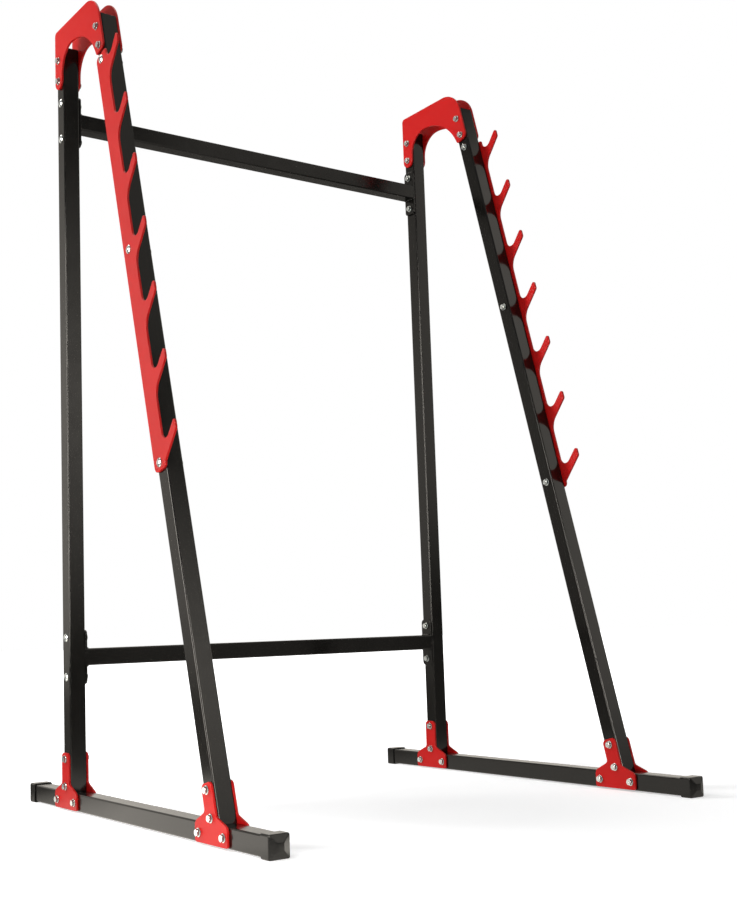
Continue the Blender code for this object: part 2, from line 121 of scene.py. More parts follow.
class NodeGraph:
    """Adds nodes to a tree and links them on the way."""

    def __init__(self, tree: bpy.types.NodeTree) -> None:
        """Keeps the tree that the nodes go into."""
        self.tree = tree

    @property
    def shader(self) -> bpy.types.Node:
        """The shader that a new material starts with."""
        return self.tree.nodes["Principled BSDF"]

    def add(self, kind: str, inputs: dict | None = None, **settings: object) -> bpy.types.Node:
        """Adds one node.

        Args:
            kind: Blender's name for the type of node.
            inputs: values, or sockets to link, by the input's name or number.
            settings: properties of the node itself.

        Returns:
            The new node.
        """
        node = self.tree.nodes.new(kind)
        node.location.x = 200 * len(self.tree.nodes)
        for name, value in settings.items():
            setattr(node, name, value)
        for key, value in (inputs or {}).items():
            if isinstance(value, bpy.types.NodeSocket):
                self.tree.links.new(value, node.inputs[key])
            else:
                node.inputs[key].default_value = value
        return node

    def math(self, operation: str, *values: object) -> bpy.types.NodeSocket:
        """Result of a Math node on numbers or sockets."""
        return self.add("ShaderNodeMath", dict(enumerate(values)), operation=operation).outputs[0]

    def axes(self, vector: bpy.types.NodeSocket) -> bpy.types.NodeOutputs:
        """Sockets of a vector's X, Y and Z."""
        return self.add("ShaderNodeSeparateXYZ", {0: vector}).outputs

    def distance(self, place: bpy.types.NodeSocket, center: Corner) -> bpy.types.NodeSocket:
        """Distance of each point from a centre."""
        return self.add("ShaderNodeVectorMath", {0: place, 1: center},
                        operation="DISTANCE").outputs["Value"]

    def noise(self, place: bpy.types.NodeSocket, size: float, detail: float = 2.0,
              distortion: float = 0.0) -> bpy.types.NodeSocket:
        """Strength of a noise whose patches are about that size, in metres."""
        return self.add("ShaderNodeTexNoise", {"Vector": place, "Scale": 1 / size, "Detail": detail,
                                               "Distortion": distortion}).outputs[0]

    def ramp(self, value: bpy.types.NodeSocket, start: float, stop: float, low: float = 0.0,
             high: float = 1.0) -> bpy.types.NodeSocket:
        """Value stretched from the range start to stop onto the range low to high."""
        return self.add("ShaderNodeMapRange", {"Value": value, "From Min": start, "From Max": stop,
                                               "To Min": low, "To Max": high}).outputs[0]

    def patches(self, place: bpy.types.NodeSocket, kind: Patches, low: float = 0.0,
                high: float = 1.0) -> bpy.types.NodeSocket:
        """Patches with the value high, and the value low between them."""
        strength = self.noise(place, kind.size, kind.detail, kind.distortion)
        return self.ramp(strength, kind.start, kind.full, low, high)

    def blend(self, share: object, first: object, second: object) -> bpy.types.NodeSocket:
        """Mixes two colours.

        Args:
            share: share of the second colour, a number or a socket.
            first: first colour, a triple or a socket.
            second: second colour, a triple or a socket.

        Returns:
            The socket of the mix.
        """
        pair = [(*color, 1.0) if isinstance(color, tuple) else color for color in (first, second)]
        return self.add("ShaderNodeMix", {0: share, 6: pair[0], 7: pair[1]},
                        data_type="RGBA").outputs[2]


class PatternTree(NodeGraph):
    """A Geometry Nodes group with named inputs that ends in plain geometry of one material."""

    def __init__(self, name: str, inputs: dict[str, str]) -> None:
        """Starts the group.

        Args:
            name: name of the group.
            inputs: kind of socket by the name of the input.
        """
        super().__init__(bpy.data.node_groups.new(name, "GeometryNodeTree"))
        sockets = {"Geometry": "Geometry", **inputs, "Material": "Material"}
        for label, kind in sockets.items():
            self.tree.interface.new_socket(label, in_out="INPUT", socket_type=f"NodeSocket{kind}")
        self.tree.interface.new_socket("Geometry", in_out="OUTPUT",
                                       socket_type="NodeSocketGeometry")
        self.given = self.add("NodeGroupInput").outputs

    def together(self, parts: Iterable[bpy.types.NodeSocket]) -> bpy.types.NodeSocket:
        """Several geometries as one.

        Args:
            parts: the socket of each.

        Returns:
            The socket of them all.
        """
        join = self.add("GeometryNodeJoinGeometry")
        for part in parts:
            self.tree.links.new(part, join.inputs[0])
        return join.outputs[0]

    def close(self, geometry: bpy.types.NodeSocket) -> None:
        """Ends the group in Realize Instances and Set Material.

        Args:
            geometry: what the group has made.
        """
        real = self.add("GeometryNodeRealizeInstances", {"Geometry": geometry}).outputs[0]
        dressed = self.add("GeometryNodeSetMaterial",
                           {"Geometry": real, "Material": self.given["Material"]}).outputs[0]
        self.add("NodeGroupOutput", {"Geometry": dressed})

    def run(self, base: bpy.types.Mesh, values: dict[str, object]) -> bpy.types.Mesh:
        """Runs the group on a mesh.

        Args:
            base: mesh that the group starts from.
            values: what each named input gets.

        Returns:
            The plain mesh that the group makes.
        """
        obj = put(self.tree.name, base)
        modifier = obj.modifiers.new("pattern", "NODES")
        modifier.node_group = self.tree
        for item in self.tree.interface.items_tree:
            if item.in_out == "INPUT" and item.name in values:
                modifier[item.identifier] = values[item.name]
        return take(obj)


def put(name: str, data: bpy.types.ID) -> bpy.types.Object:
    """Puts a mesh, a lamp or a camera into the scene, at the origin.

    Args:
        name: name of the object.
        data: the mesh, lamp or camera.

    Returns:
        The new object.
    """
    obj = bpy.data.objects.new(name, data)
    bpy.context.collection.objects.link(obj)
    return obj


def take(obj: bpy.types.Object) -> bpy.types.Mesh:
    """Takes an object out of the scene as a plain mesh.

    Args:
        obj: the object, which goes.

    Returns:
        Its mesh with its modifiers applied.
    """
    graph = bpy.context.evaluated_depsgraph_get()
    mesh = bpy.data.meshes.new_from_object(obj.evaluated_get(graph), depsgraph=graph)
    obj.modifiers.clear()
    bpy.data.objects.remove(obj)
    return mesh


def worked(mesh: bpy.types.Mesh, kind: str, **settings: object) -> bpy.types.Mesh:
    """Applies one modifier.

    Args:
        mesh: the mesh to work.
        kind: Blender's name for the type of modifier.
        settings: properties of the modifier.

    Returns:
        The new mesh.
    """
    obj = put("work", mesh)
    modifier = obj.modifiers.new("work", kind)
    for name, value in settings.items():
        setattr(modifier, name, value)
    return take(obj)


def eased(mesh: bpy.types.Mesh, width: float, segments: int) -> bpy.types.Mesh:
    """A mesh with its sharp edges rounded off."""
    return worked(mesh, "BEVEL", width=width, segments=segments, limit_method="ANGLE",
                  use_clamp_overlap=False, angle_limit=EASED_ANGLE)


def shaded(mesh: bpy.types.Mesh) -> bpy.types.Mesh:
    """Smooth shading with crisp edges, where flat faces keep their own direction.

    Args:
        mesh: the mesh to shade.

    Returns:
        The new mesh.
    """
    mesh.shade_smooth()
    mesh.set_sharp_from_angle(angle=SHARP_ANGLE)
    return worked(mesh, "WEIGHTED_NORMAL", keep_sharp=True, weight=FLAT_WEIGHT)


def turn_out(bm: bmesh.types.BMesh) -> None:
    """Makes all faces of a closed body point out.

    Args:
        bm: the body.
    """
    bmesh.ops.recalc_face_normals(bm, faces=bm.faces)
    if bm.calc_volume(signed=True) < 0:
        bmesh.ops.reverse_faces(bm, faces=bm.faces)


def outward(mesh: bpy.types.Mesh) -> bpy.types.Mesh:
    """Merges a mesh's doubles and makes all its faces point out.

    Args:
        mesh: the mesh, which is changed.

    Returns:
        The same mesh.
    """
    bm = bmesh.new()
    bm.from_mesh(mesh)
    bmesh.ops.remove_doubles(bm, verts=bm.verts, dist=NEAR)
    turn_out(bm)
    bm.to_mesh(mesh)
    bm.free()
    return mesh


def as_mesh(bm: bmesh.types.BMesh, name: str) -> bpy.types.Mesh:
    """Ends the building of a body.

    Args:
        bm: the body, which is freed.
        name: name of the mesh.

    Returns:
        Its mesh.
    """
    mesh = bpy.data.meshes.new(name)
    bm.to_mesh(mesh)
    bm.free()
    return mesh


def joined(meshes: Iterable[bpy.types.Mesh]) -> bpy.types.Mesh:
    """Several meshes as one.

    Args:
        meshes: the meshes, which stay as they are.

    Returns:
        The new mesh.
    """
    bm = bmesh.new()
    for mesh in meshes:
        bm.from_mesh(mesh)
    return as_mesh(bm, "joined")


def skin(rings: Sequence[Sequence[Sequence[float]]], ring_shaped: bool = False) -> bpy.types.Mesh:
    """Closed mesh over rings of points.

    Args:
        rings: rings that all have the same count of (x, y, z) points.
        ring_shaped: joins the last ring to the first, and otherwise both ends are closed.

    Returns:
        The mesh, with its faces pointing out.
    """
    bm = bmesh.new()
    loops = [[bm.verts.new(point) for point in ring] for ring in rings]
    pairs = list(zip(loops, loops[1:]))
    if ring_shaped:
        pairs.append((loops[-1], loops[0]))
    else:
        bm.faces.new(loops[0])
        bm.faces.new(loops[-1])
    for low, high in pairs:
        for i in range(len(low)):
            bm.faces.new((low[i - 1], low[i], high[i], high[i - 1]))
    turn_out(bm)
    return as_mesh(bm, "skin")


def turned(stations: Sequence[Flat], facets: int = BOLT_FACETS,
           ring_shaped: bool = False) -> bpy.types.Mesh:
    """Round body along z, over the (radius, z) of its stations."""
    return skin([[(x, y, z) for x, y in circle(r, facets)] for r, z in stations], ring_shaped)


def prism(outline: Sequence[Flat], ends: Flat) -> bpy.types.Mesh:
    """Straight body along x, over an outline of (y, z) points."""
    return skin([[(x, y, z) for y, z in outline] for x in ends])


def sheet(name: str, width: float, height: float) -> bpy.types.Mesh:
    """Flat rectangle round the origin, facing z.

    Args:
        name: name of the mesh.
        width: its size along x.
        height: its size along y.

    Returns:
        The mesh.
    """
    a, b = width / 2, height / 2
    mesh = bpy.data.meshes.new(name)
    mesh.from_pydata([(-a, -b, 0), (a, -b, 0), (a, b, 0), (-a, b, 0)], [], [(0, 1, 2, 3)])
    return mesh


def aim(obj: bpy.types.Object, place: Corner, target: Corner, front: str) -> None:
    """Puts an object in its place and turns its front to a target.

    Args:
        obj: the object.
        place: where it goes.
        target: what it faces.
        front: the axis of the object that is its front.
    """
    sight = Vector(target) - Vector(place)
    obj.location = place
    obj.rotation_euler = sight.to_track_quat(front, "Y").to_euler()


def arc(center: Flat, radius: float, start: float, end: float) -> list[Flat]:
    """Points of an arc.

    Args:
        center: its centre.
        radius: its radius.
        start: angle of its first point, in radians.
        end: angle of its last point, in radians.

    Returns:
        The points, close enough for the arc to look round.
    """
    widest = 2 * math.acos(1 - ARC_ERROR / radius)
    steps = math.ceil(abs(end - start) / widest)
    turns = [start + (end - start) * i / steps for i in range(steps + 1)]
    return [(center[0] + radius * math.cos(t), center[1] + radius * math.sin(t)) for t in turns]


def rounded(corners: Sequence[Corner]) -> list[Flat]:
    """Outline through corners, each replaced by its arc.

    Args:
        corners: (a, b, radius) of each. Where an edge is too short for the arcs at its
            ends, both shrink to fit it.

    Returns:
        The points of the closed outline.
    """
    count = len(corners)
    points = [Vector(corner[:2]) for corner in corners]
    halves, reaches = [], []
    for i, corner in enumerate(corners):
        back, onward = points[i - 1] - points[i], points[(i + 1) % count] - points[i]
        halves.append(back.angle(onward) / 2)
        reaches.append(corner[2] / math.tan(halves[i]))
    limits = [1.0] * count
    for i in range(count):
        both = reaches[i - 1] + reaches[i]
        share = (points[i] - points[i - 1]).length / both if both else 1.0
        limits[i - 1], limits[i] = min(limits[i - 1], share), min(limits[i], share)
    outline = []
    for i, point in enumerate(points):
        reach = reaches[i] * limits[i]
        if reach == 0:
            outline.append(tuple(point))
            continue
        back = (points[i - 1] - point).normalized()
        onward = (points[(i + 1) % count] - point).normalized()
        radius = reach * math.tan(halves[i])
        center = point + (back + onward).normalized() * radius / math.sin(halves[i])
        spoke = point + back * reach - center
        start = math.atan2(spoke.y, spoke.x)
        turn = math.copysign(math.pi - 2 * halves[i], back.y * onward.x - back.x * onward.y)
        outline += arc(tuple(center), radius, start, start + turn)
    return [a for a, b in zip(outline, outline[1:] + outline[:1]) if math.dist(a, b) > SAME]


def rectangle(width: float, height: float, corner: float) -> list[Flat]:
    """Outline of a rectangle with round corners."""
    a, b = width / 2, height / 2
    return rounded([(-a, -b, corner), (a, -b, corner), (a, b, corner), (-a, b, corner)])


def circle(radius: float, facets: int = BOLT_FACETS) -> list[Flat]:
    """Points round a circle."""
    turns = [2 * math.pi * i / facets for i in range(facets)]
    return [(radius * math.cos(t), radius * math.sin(t)) for t in turns]


@dataclass(frozen=True)
class SquareTube:
    """Section of the square tube that the whole rack is made of."""

    width: float = 0.041
    wall: float = 0.002
    corner: float = 0.0035
    bore_corner: float = 0.001
    cut_edge: float = 0.0003      # filed edge where the tube is cut to length

    @property
    def half(self) -> float:
        """Distance of a face from the centre line."""
        return self.width / 2


@dataclass(frozen=True)
class Layout:
    """Where the feet and the uprights stand."""

    spacing: float                # between the middle planes of the side frames
    foot_length: float
    foot_bottom: float
    foot_top: float
    stagger: float                # the left foot sits this much further back
    rear_y: float
    upright_bottom: float
    rear_top: float
    tube: SquareTube = SquareTube()
    spread: float = 0.7132        # between the uprights' centre lines, on top of the foot
    lean: float = math.radians(14.85)
    front_top_drop: float = 0.0045
    fit: float = 0.0003           # gap between pieces that touch

    @classmethod
    def from_frame(cls) -> "Layout":
        """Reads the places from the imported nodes.

        Returns:
            The layout.
        """
        left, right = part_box("left_foot_tube"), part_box("right_foot_tube")
        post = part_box("right_rear_upright")
        return cls(spacing=right[0].x - left[0].x, foot_length=left[1].y - left[0].y,
                   foot_bottom=left[0].z, foot_top=left[1].z, stagger=left[0].y - right[0].y,
                   rear_y=(post[0].y + post[1].y) / 2, upright_bottom=post[0].z,
                   rear_top=post[1].z)

    @property
    def front_y(self) -> float:
        """Where the front upright's centre line meets the foot."""
        return self.rear_y - self.spread

    @property
    def front_length(self) -> float:
        """Length of the front upright along its centre line."""
        return self.lean_along(self.rear_top - self.front_top_drop, self.tube.half)

    def lean_point(self, along: float, ahead: float = 0.0) -> Flat:
        """A point of the front upright.

        Args:
            along: how far up the upright it is.
            ahead: how far ahead of the centre line.

        Returns:
            Its (y, z).
        """
        y = self.front_y + along * math.sin(self.lean) - ahead * math.cos(self.lean)
        z = self.upright_bottom + along * math.cos(self.lean) + ahead * math.sin(self.lean)
        return y, z

    def lean_along(self, z: float, ahead: float) -> float:
        """How far along the front upright the line at that distance ahead reaches z."""
        return (z - self.upright_bottom - ahead * math.sin(self.lean)) / math.cos(self.lean)

    def lean_place(self, x: float) -> Matrix:
        """Place of a piece made along the front upright, whose own z runs up it."""
        return (Matrix.Translation((x, self.front_y, self.upright_bottom))
                @ Matrix.Rotation(-self.lean, 4, "X"))

    def frame_x(self, side: Side) -> float:
        """x of the middle plane of a side frame."""
        return side.value * self.spacing / 2

    def face_x(self, side: Side, face: Face, out: float = 0.0) -> float:
        """x of a face of a side frame's tubes, or of a point that far outside it."""
        return side.value * (self.spacing / 2 + face.value * (self.tube.half + out))


def new_material(name: str) -> tuple[bpy.types.Material, NodeGraph]:
    """A new material and the graph of its nodes.

    Args:
        name: its name.

    Returns:
        The material and its graph.
    """
    material = bpy.data.materials.new(name)
    material.use_nodes = True
    return material, NodeGraph(material.node_tree)


@dataclass(frozen=True, kw_only=True)
class Finish:
    """What every finish has: its name, its slot, a colour, a gloss and a relief."""

    name: str
    slot: Slot
    color: Color
    roughness: float
    specular: float = 0.5         # how strongly it reflects, where 0.5 is ordinary
    metallic: float = 0.0
    relief: float = 0.5           # strength of the relief
    depth: float = 0.000007       # height of the relief

    def start(self) -> tuple[bpy.types.Material, NodeGraph, bpy.types.NodeSocket]:
        """Starts the material.

        Returns:
            The material, its graph and the socket of Object coordinates.
        """
        material, graph = new_material(self.name)
        graph.shader.inputs["Specular IOR Level"].default_value = self.specular
        graph.shader.inputs["Metallic"].default_value = self.metallic
        return material, graph, graph.add("ShaderNodeTexCoord").outputs["Object"]

    def finish(self, graph: NodeGraph, color: bpy.types.NodeSocket,
               rough: bpy.types.NodeSocket, height: bpy.types.NodeSocket) -> None:
        """Links the patterns to the shader.

        Args:
            graph: the material's graph.
            color: pattern of the colour.
            rough: pattern of the roughness.
            height: pattern of the relief.
        """
        bump = graph.add("ShaderNodeBump", {"Strength": self.relief, "Distance": self.depth,
                                            "Height": height}).outputs[0]
        for name, socket in (("Base Color", color), ("Roughness", rough), ("Normal", bump)):
            graph.tree.links.new(socket, graph.shader.inputs[name])


@dataclass(frozen=True, kw_only=True)
class PowderCoat(Finish):
    """Powder coat on steel: fine orange peel, a faint mottle, and edges where it is thin."""

    mottle: Color                 # what the colour drifts to in broad patches
    mottle_patches: Patches = Patches(0.11, detail=3.0, start=0.35, full=0.65)
    peel: float = 0.0012          # size of the orange peel
    fine_peel: float = 0.4        # size of the finer peel on it, as a share of that
    fine_share: float = 0.12      # and how much it adds
    edge: Color                   # over edges, where the coat pulls thin
    edge_width: float = 0.0009
    edge_bend: float = 0.86       # cosine of the bend that counts as a full edge
    edge_share: float = 0.35
    wear_patches: Patches = Patches(0.02, detail=4.0)
    least_wear: float = 0.2       # share of the edge's wear between those patches
    dust: float = 0.05            # share of dust on faces that point up
    dust_color: Color = (0.30, 0.29, 0.27)
    dust_patches: Patches = Patches(0.006, detail=6.0, start=0.4, full=0.75)
    dust_slope: float = 0.6       # upward part of the normal where dust begins to settle
    dust_rough: float = 0.04      # what the dust adds to the roughness
    gloss_patches: Patches = Patches(0.035, detail=5.0, distortion=0.6)
    gloss_drift: float = 0.03     # how much those patches change the roughness

    def make(self) -> bpy.types.Material:
        """Builds the material.

        Returns:
            The material.
        """
        material, graph, place = self.start()
        color = graph.blend(graph.patches(place, self.mottle_patches), self.color, self.mottle)
        normal = graph.add("ShaderNodeNewGeometry").outputs["Normal"]
        soft = graph.add("ShaderNodeBevel", {"Radius": self.edge_width}, samples=4).outputs[0]
        bend = graph.add("ShaderNodeVectorMath", {0: soft, 1: normal},
                         operation="DOT_PRODUCT").outputs["Value"]
        worn = graph.math("MULTIPLY", graph.ramp(bend, 1.0, self.edge_bend),
                          graph.patches(place, self.wear_patches, self.least_wear))
        color = graph.blend(graph.math("MULTIPLY", worn, self.edge_share), color, self.edge)
        level = graph.ramp(graph.axes(normal)["Z"], self.dust_slope, 1.0)
        settled = graph.math("MULTIPLY", level, graph.patches(place, self.dust_patches))
        color = graph.blend(graph.math("MULTIPLY", settled, self.dust), color, self.dust_color)
        uneven = graph.patches(place, self.gloss_patches, self.roughness - self.gloss_drift,
                               self.roughness + self.gloss_drift)
        rough = graph.math("ADD", uneven, graph.math("MULTIPLY", settled, self.dust_rough))
        fine = graph.noise(place, self.peel * self.fine_peel)
        height = graph.math("ADD", graph.noise(place, self.peel),
                            graph.math("MULTIPLY", fine, self.fine_share))
        self.finish(graph, color, rough, height)
        return material


@dataclass(frozen=True, kw_only=True)
class ZincPlate(Finish):
    """Bright zinc plate on fasteners: cool and slightly uneven, with fine tool marks and painted
    shade on the sides of heads and nuts.
    """

    tint: Color                   # the faint blue and straw of its passivation
    tint_patches: Patches = Patches(0.004, detail=3.0, distortion=0.8, start=0.35, full=0.65)
    flank: Color                  # painted shade on the sides of heads and nuts, whose bolts lie along x
    flank_limits: Flat = (0.3, 0.8)  # x part of the normal where a flank ends and an end starts
    gloss_patches: Patches = Patches(0.0015, detail=4.0)
    smoother: float = 0.04        # what the roughness loses between those patches
    rougher: float = 0.05         # and gains on them
    mark_size: float = 0.0002
    mark_detail: float = 3.0
    mark_stretch: Corner = (1.0, 1.0, 0.12)

    def make(self) -> bpy.types.Material:
        """Builds the material.

        Returns:
            The material.
        """
        material, graph, place = self.start()
        color = graph.blend(graph.patches(place, self.tint_patches), self.color, self.tint)
        normal = graph.add("ShaderNodeNewGeometry").outputs["Normal"]
        end_on = graph.math("ABSOLUTE", graph.axes(normal)["X"])
        # painted shade: faces that turn away from the bolt's axis take the darker flank colour,
        # whatever the light
        color = graph.blend(graph.ramp(end_on, *self.flank_limits), self.flank, color)
        rough = graph.patches(place, self.gloss_patches, self.roughness - self.smoother,
                              self.roughness + self.rougher)
        stretch = graph.add("ShaderNodeMapping", {"Vector": place, "Scale": self.mark_stretch})
        marks = graph.noise(stretch.outputs[0], self.mark_size, self.mark_detail)
        self.finish(graph, color, rough, marks)
        return material


@dataclass(frozen=True, kw_only=True)
class MouldedPlastic(Finish):
    """Black moulded plastic of the end caps: glossy, finely grained and lightly scuffed."""

    scuff: Color
    scuff_patches: Patches = Patches(0.006, detail=6.0, distortion=1.2, start=0.52, full=0.75)
    scuff_share: float = 0.5
    scuff_rough: float = 0.12     # what a scuff adds to the roughness
    grain: float = 0.0007
    grain_detail: float = 3.0
    wave: float = 0.009           # size of the slow waves that moulding leaves
    wave_share: float = 0.6

    def make(self) -> bpy.types.Material:
        """Builds the material.

        Returns:
            The material.
        """
        material, graph, place = self.start()
        rubs = graph.patches(place, self.scuff_patches)
        color = graph.blend(graph.math("MULTIPLY", rubs, self.scuff_share), self.color, self.scuff)
        rough = graph.math("ADD", graph.math("MULTIPLY", rubs, self.scuff_rough), self.roughness)
        height = graph.math("ADD", graph.noise(place, self.grain, self.grain_detail),
                            graph.math("MULTIPLY", graph.noise(place, self.wave), self.wave_share))
        self.finish(graph, color, rough, height)
        return material


FINISHES = (
    PowderCoat(name="black powder coat", slot=Slot.BLACK, color=(0.0038, 0.0034, 0.0028),
               mottle=(0.0046, 0.0042, 0.0035), edge=(0.012, 0.011, 0.010), roughness=0.16),
    PowderCoat(name="red powder coat", slot=Slot.RED, color=(0.54, 0.0070, 0.0066),
               mottle=(0.52, 0.0065, 0.0060), edge=(0.42, 0.003, 0.003), edge_share=0.5,
               roughness=0.32, specular=0.22),
    MouldedPlastic(name="black plastic", slot=Slot.PLASTIC, color=(0.0042, 0.0042, 0.0038),
                   scuff=(0.012, 0.0115, 0.0105), roughness=0.14, relief=0.35, depth=0.000004),
    ZincPlate(name="zinc plate", slot=Slot.ZINC, color=(0.94, 0.98, 0.99),
              tint=(0.92, 0.95, 0.90), flank=(0.30, 0.33, 0.32), roughness=0.09, metallic=0.82,
              relief=0.4, depth=0.00001),
)


@dataclass(frozen=True)
class HexBolt:
    """A hex bolt with a washer under its head, a washer and a nut, made along z."""

    thread: float = 0.008
    across: float = 0.013         # over the flats of head and nut
    washer_width: float = 0.018
    washer: float = 0.0016
    washer_room: float = 0.0002   # between the washer and the thread
    rim_round: float = 0.0003     # rounding of washers' rims
    head: float = 0.0053
    nut: float = 0.0060
    end: float = 0.0009           # thread beyond the nut
    overlap: float = 0.00125      # how far that end starts inside the nut
    end_taper: float = 0.0001     # what its radius loses on the way to the tip
    tip: float = 0.0005           # length of its chamfered tip
    tip_depth: float = 0.0006     # what its radius has lost at the very end
    chamfer: float = math.radians(30)
    chamfer_start: float = 0.95   # where it starts on a face, as a share of the flats
    samples: int = 8              # points along each flat

    def hex_ring(self, z: float, drop: float, round_start: bool = False) -> list[Corner]:
        """One ring of a hexagon whose corners are turned down to a cone.

        Args:
            z: height of the flat face that the cone runs up to.
            drop: which way its corners go, down for 1, up for -1.
            round_start: makes the circle that the cone starts from instead.

        Returns:
            The points of the ring.
        """
        flat = self.across / 2
        start = flat * self.chamfer_start
        points = []
        for i in range(6 * self.samples):
            turn = SIXTH * i / self.samples
            reach = flat / math.cos((turn + SIXTH / 2) % SIXTH - SIXTH / 2)
            fall = drop * (reach - start) * math.tan(self.chamfer)
            if round_start:
                reach, fall = start, 0.0
            points.append((reach * math.cos(turn), reach * math.sin(turn), z - fall))
        return points

    def hexagon(self, low: float, high: float, both: bool) -> bpy.types.Mesh:
        """Hexagon with chamfered corners.

        Args:
            low: its lower face.
            high: its upper face.
            both: chamfers the lower face too, as on a nut.

        Returns:
            The closed mesh.
        """
        rings = [self.hex_ring(low, -1.0, round_start=True)] if both else []
        rings += [self.hex_ring(low, -1.0 if both else 0.0), self.hex_ring(high, 1.0),
                  self.hex_ring(high, 1.0, round_start=True)]
        return skin(rings)

    def disc(self, low: float) -> bpy.types.Mesh:
        """Washer with rounded rims.

        Args:
            low: height of its lower face.

        Returns:
            The closed mesh.
        """
        out, bore, rim = self.washer_width / 2, self.thread / 2 + self.washer_room, self.rim_round
        high = low + self.washer
        return turned([(bore, low), (out - rim, low), (out, low + rim), (out, high - rim),
                       (out - rim, high), (bore, high)], ring_shaped=True)

    def rod(self, high: float, low: float) -> bpy.types.Mesh:
        """Plain shank between two heights."""
        return turned([(self.thread / 2, high), (self.thread / 2, low)])

    def thread_end(self, start: float) -> bpy.types.Mesh:
        """End of the thread with its chamfered tip.

        Args:
            start: height at which it leaves the nut, from where it runs down.

        Returns:
            The closed mesh.
        """
        crest, bottom = self.thread / 2, start - self.end
        return turned([(crest, start + self.overlap), (crest, start),
                       (crest - self.end_taper, bottom + self.tip),
                       (crest - self.tip_depth, bottom)])

    def head_shapes(self) -> list[bpy.types.Mesh]:
        """Head and washer, seated at z = 0."""
        return [self.disc(0.0), self.hexagon(self.washer, self.washer + self.head, False)]

    def head_part(self, grip: float) -> bpy.types.Mesh:
        """Head and shank."""
        return shaded(joined([*self.head_shapes(), self.rod(self.washer, -grip - self.washer)]))

    def nut_part(self, grip: float) -> bpy.types.Mesh:
        """Nut, its washer and the end of the thread.

        Args:
            grip: thickness of what the bolt holds.

        Returns:
            The mesh.
        """
        seat = -grip - self.washer
        return shaded(joined([self.disc(seat), self.hexagon(seat - self.nut, seat, True),
                              self.thread_end(seat - self.nut)]))


@dataclass(frozen=True)
class DomedBolt(HexBolt):
    """A bolt whose round head has a low domed top and sits on the plate without a washer."""

    dome_width: float = 0.0206
    dome: float = 0.0049
    rim: float = 0.0007           # upright stretch of the dome's rim
    brow: float = 0.0002          # rounding between the rim and the dome
    steps: int = 8                # rings from the rim to the top

    def head_shapes(self) -> list[bpy.types.Mesh]:
        """The domed head, seated at z = 0.

        Returns:
            Its mesh, alone in a list.
        """
        edge, rise = self.dome_width / 2, self.dome - self.rim
        sphere = (edge ** 2 + rise ** 2) / 2 / rise
        stations = [(edge - self.rim_round, 0.0), (edge, self.rim_round),
                    (edge, self.rim - self.brow)]
        for i in range(self.steps):
            turn = math.asin((edge - self.brow) / sphere) * (1 - i / self.steps)
            stations.append((sphere * math.sin(turn), self.dome - sphere * (1 - math.cos(turn))))
        return [turned(stations, 2 * BOLT_FACETS)]


class BoltTree(PatternTree):
    """Puts a bolt on every point, its head and nut each turned at random on its axis."""

    def __init__(self) -> None:
        """Builds the group."""
        super().__init__("bolts on points", {"Head": "Object", "Nut": "Object",
                                             "Tilt": "Float", "Seed": "Int"})
        tilt = self.add("ShaderNodeCombineXYZ", {"Y": self.given["Tilt"]}).outputs[0]
        parts = []
        for i, part in enumerate(("Head", "Nut")):
            shape = self.add("GeometryNodeObjectInfo", {"Object": self.given[part]})
            seated = self.add("GeometryNodeInstanceOnPoints",
                              {"Points": self.given["Geometry"], "Rotation": tilt,
                               "Instance": shape.outputs["Geometry"]}).outputs[0]
            seed = self.math("ADD", self.given["Seed"], i)
            turn = self.add("FunctionNodeRandomValue", {3: SIXTH, "Seed": seed},
                            data_type="FLOAT").outputs["Value"]
            spin = self.add("ShaderNodeCombineXYZ", {"Z": turn}).outputs[0]
            parts.append(self.add("GeometryNodeRotateInstances",
                                  {"Instances": seated, "Rotation": spin,
                                   "Local Space": True}).outputs[0])
        self.close(self.together(parts))


class TubeTree(PatternTree):
    """Square tube along z: two rounded squares, filled between and drawn out to a length."""

    corner_points = 6
    foot_zone = 0.001             # points below this height lie on the cut at its foot

    def __init__(self) -> None:
        """Builds the group."""
        super().__init__("square tube", {"Width": "Float", "Wall": "Float", "Corner": "Float",
                                         "Bore Corner": "Float", "Length": "Float",
                                         "Foot Slope": "Float"})
        bore = self.math("SUBTRACT", self.given["Width"],
                         self.math("MULTIPLY", self.given["Wall"], 2.0))
        outlines = [self.square(self.given["Width"], self.given["Corner"]),
                    self.square(bore, self.given["Bore Corner"])]
        section = self.add("GeometryNodeFillCurve", {"Curve": self.together(outlines)},
                           mode="TRIANGLES").outputs[0]
        drawn = self.add("GeometryNodeExtrudeMesh",
                         {"Mesh": section, "Offset": (0.0, 0.0, 1.0),
                          "Offset Scale": self.given["Length"], "Individual": False}).outputs[0]
        closed = self.together(
            [drawn, self.add("GeometryNodeFlipFaces", {"Mesh": section}).outputs[0]])
        whole = self.add("GeometryNodeMergeByDistance",
                         {"Geometry": closed, "Distance": SAME}).outputs[0]
        axes = self.axes(self.add("GeometryNodeInputPosition").outputs[0])
        at_foot = self.math("LESS_THAN", axes["Z"], self.foot_zone)
        rise = self.math("MULTIPLY", axes["Y"], self.given["Foot Slope"])
        shift = self.add("ShaderNodeCombineXYZ", {"Z": rise}).outputs[0]
        self.close(self.add("GeometryNodeSetPosition", {"Geometry": whole, "Selection": at_foot,
                                                        "Offset": shift}).outputs[0])

    def square(self, size: bpy.types.NodeSocket,
               corner: bpy.types.NodeSocket) -> bpy.types.NodeSocket:
        """Outline of a square with round corners.

        Args:
            size: its width.
            corner: radius of its corners.

        Returns:
            The socket of the curve.
        """
        square = self.add("GeometryNodeCurvePrimitiveQuadrilateral",
                          {"Width": size, "Height": size}).outputs[0]
        return self.add("GeometryNodeFilletCurve", {"Curve": square, "Radius": corner,
                                                    "Count": self.corner_points},
                        mode="POLY").outputs[0]


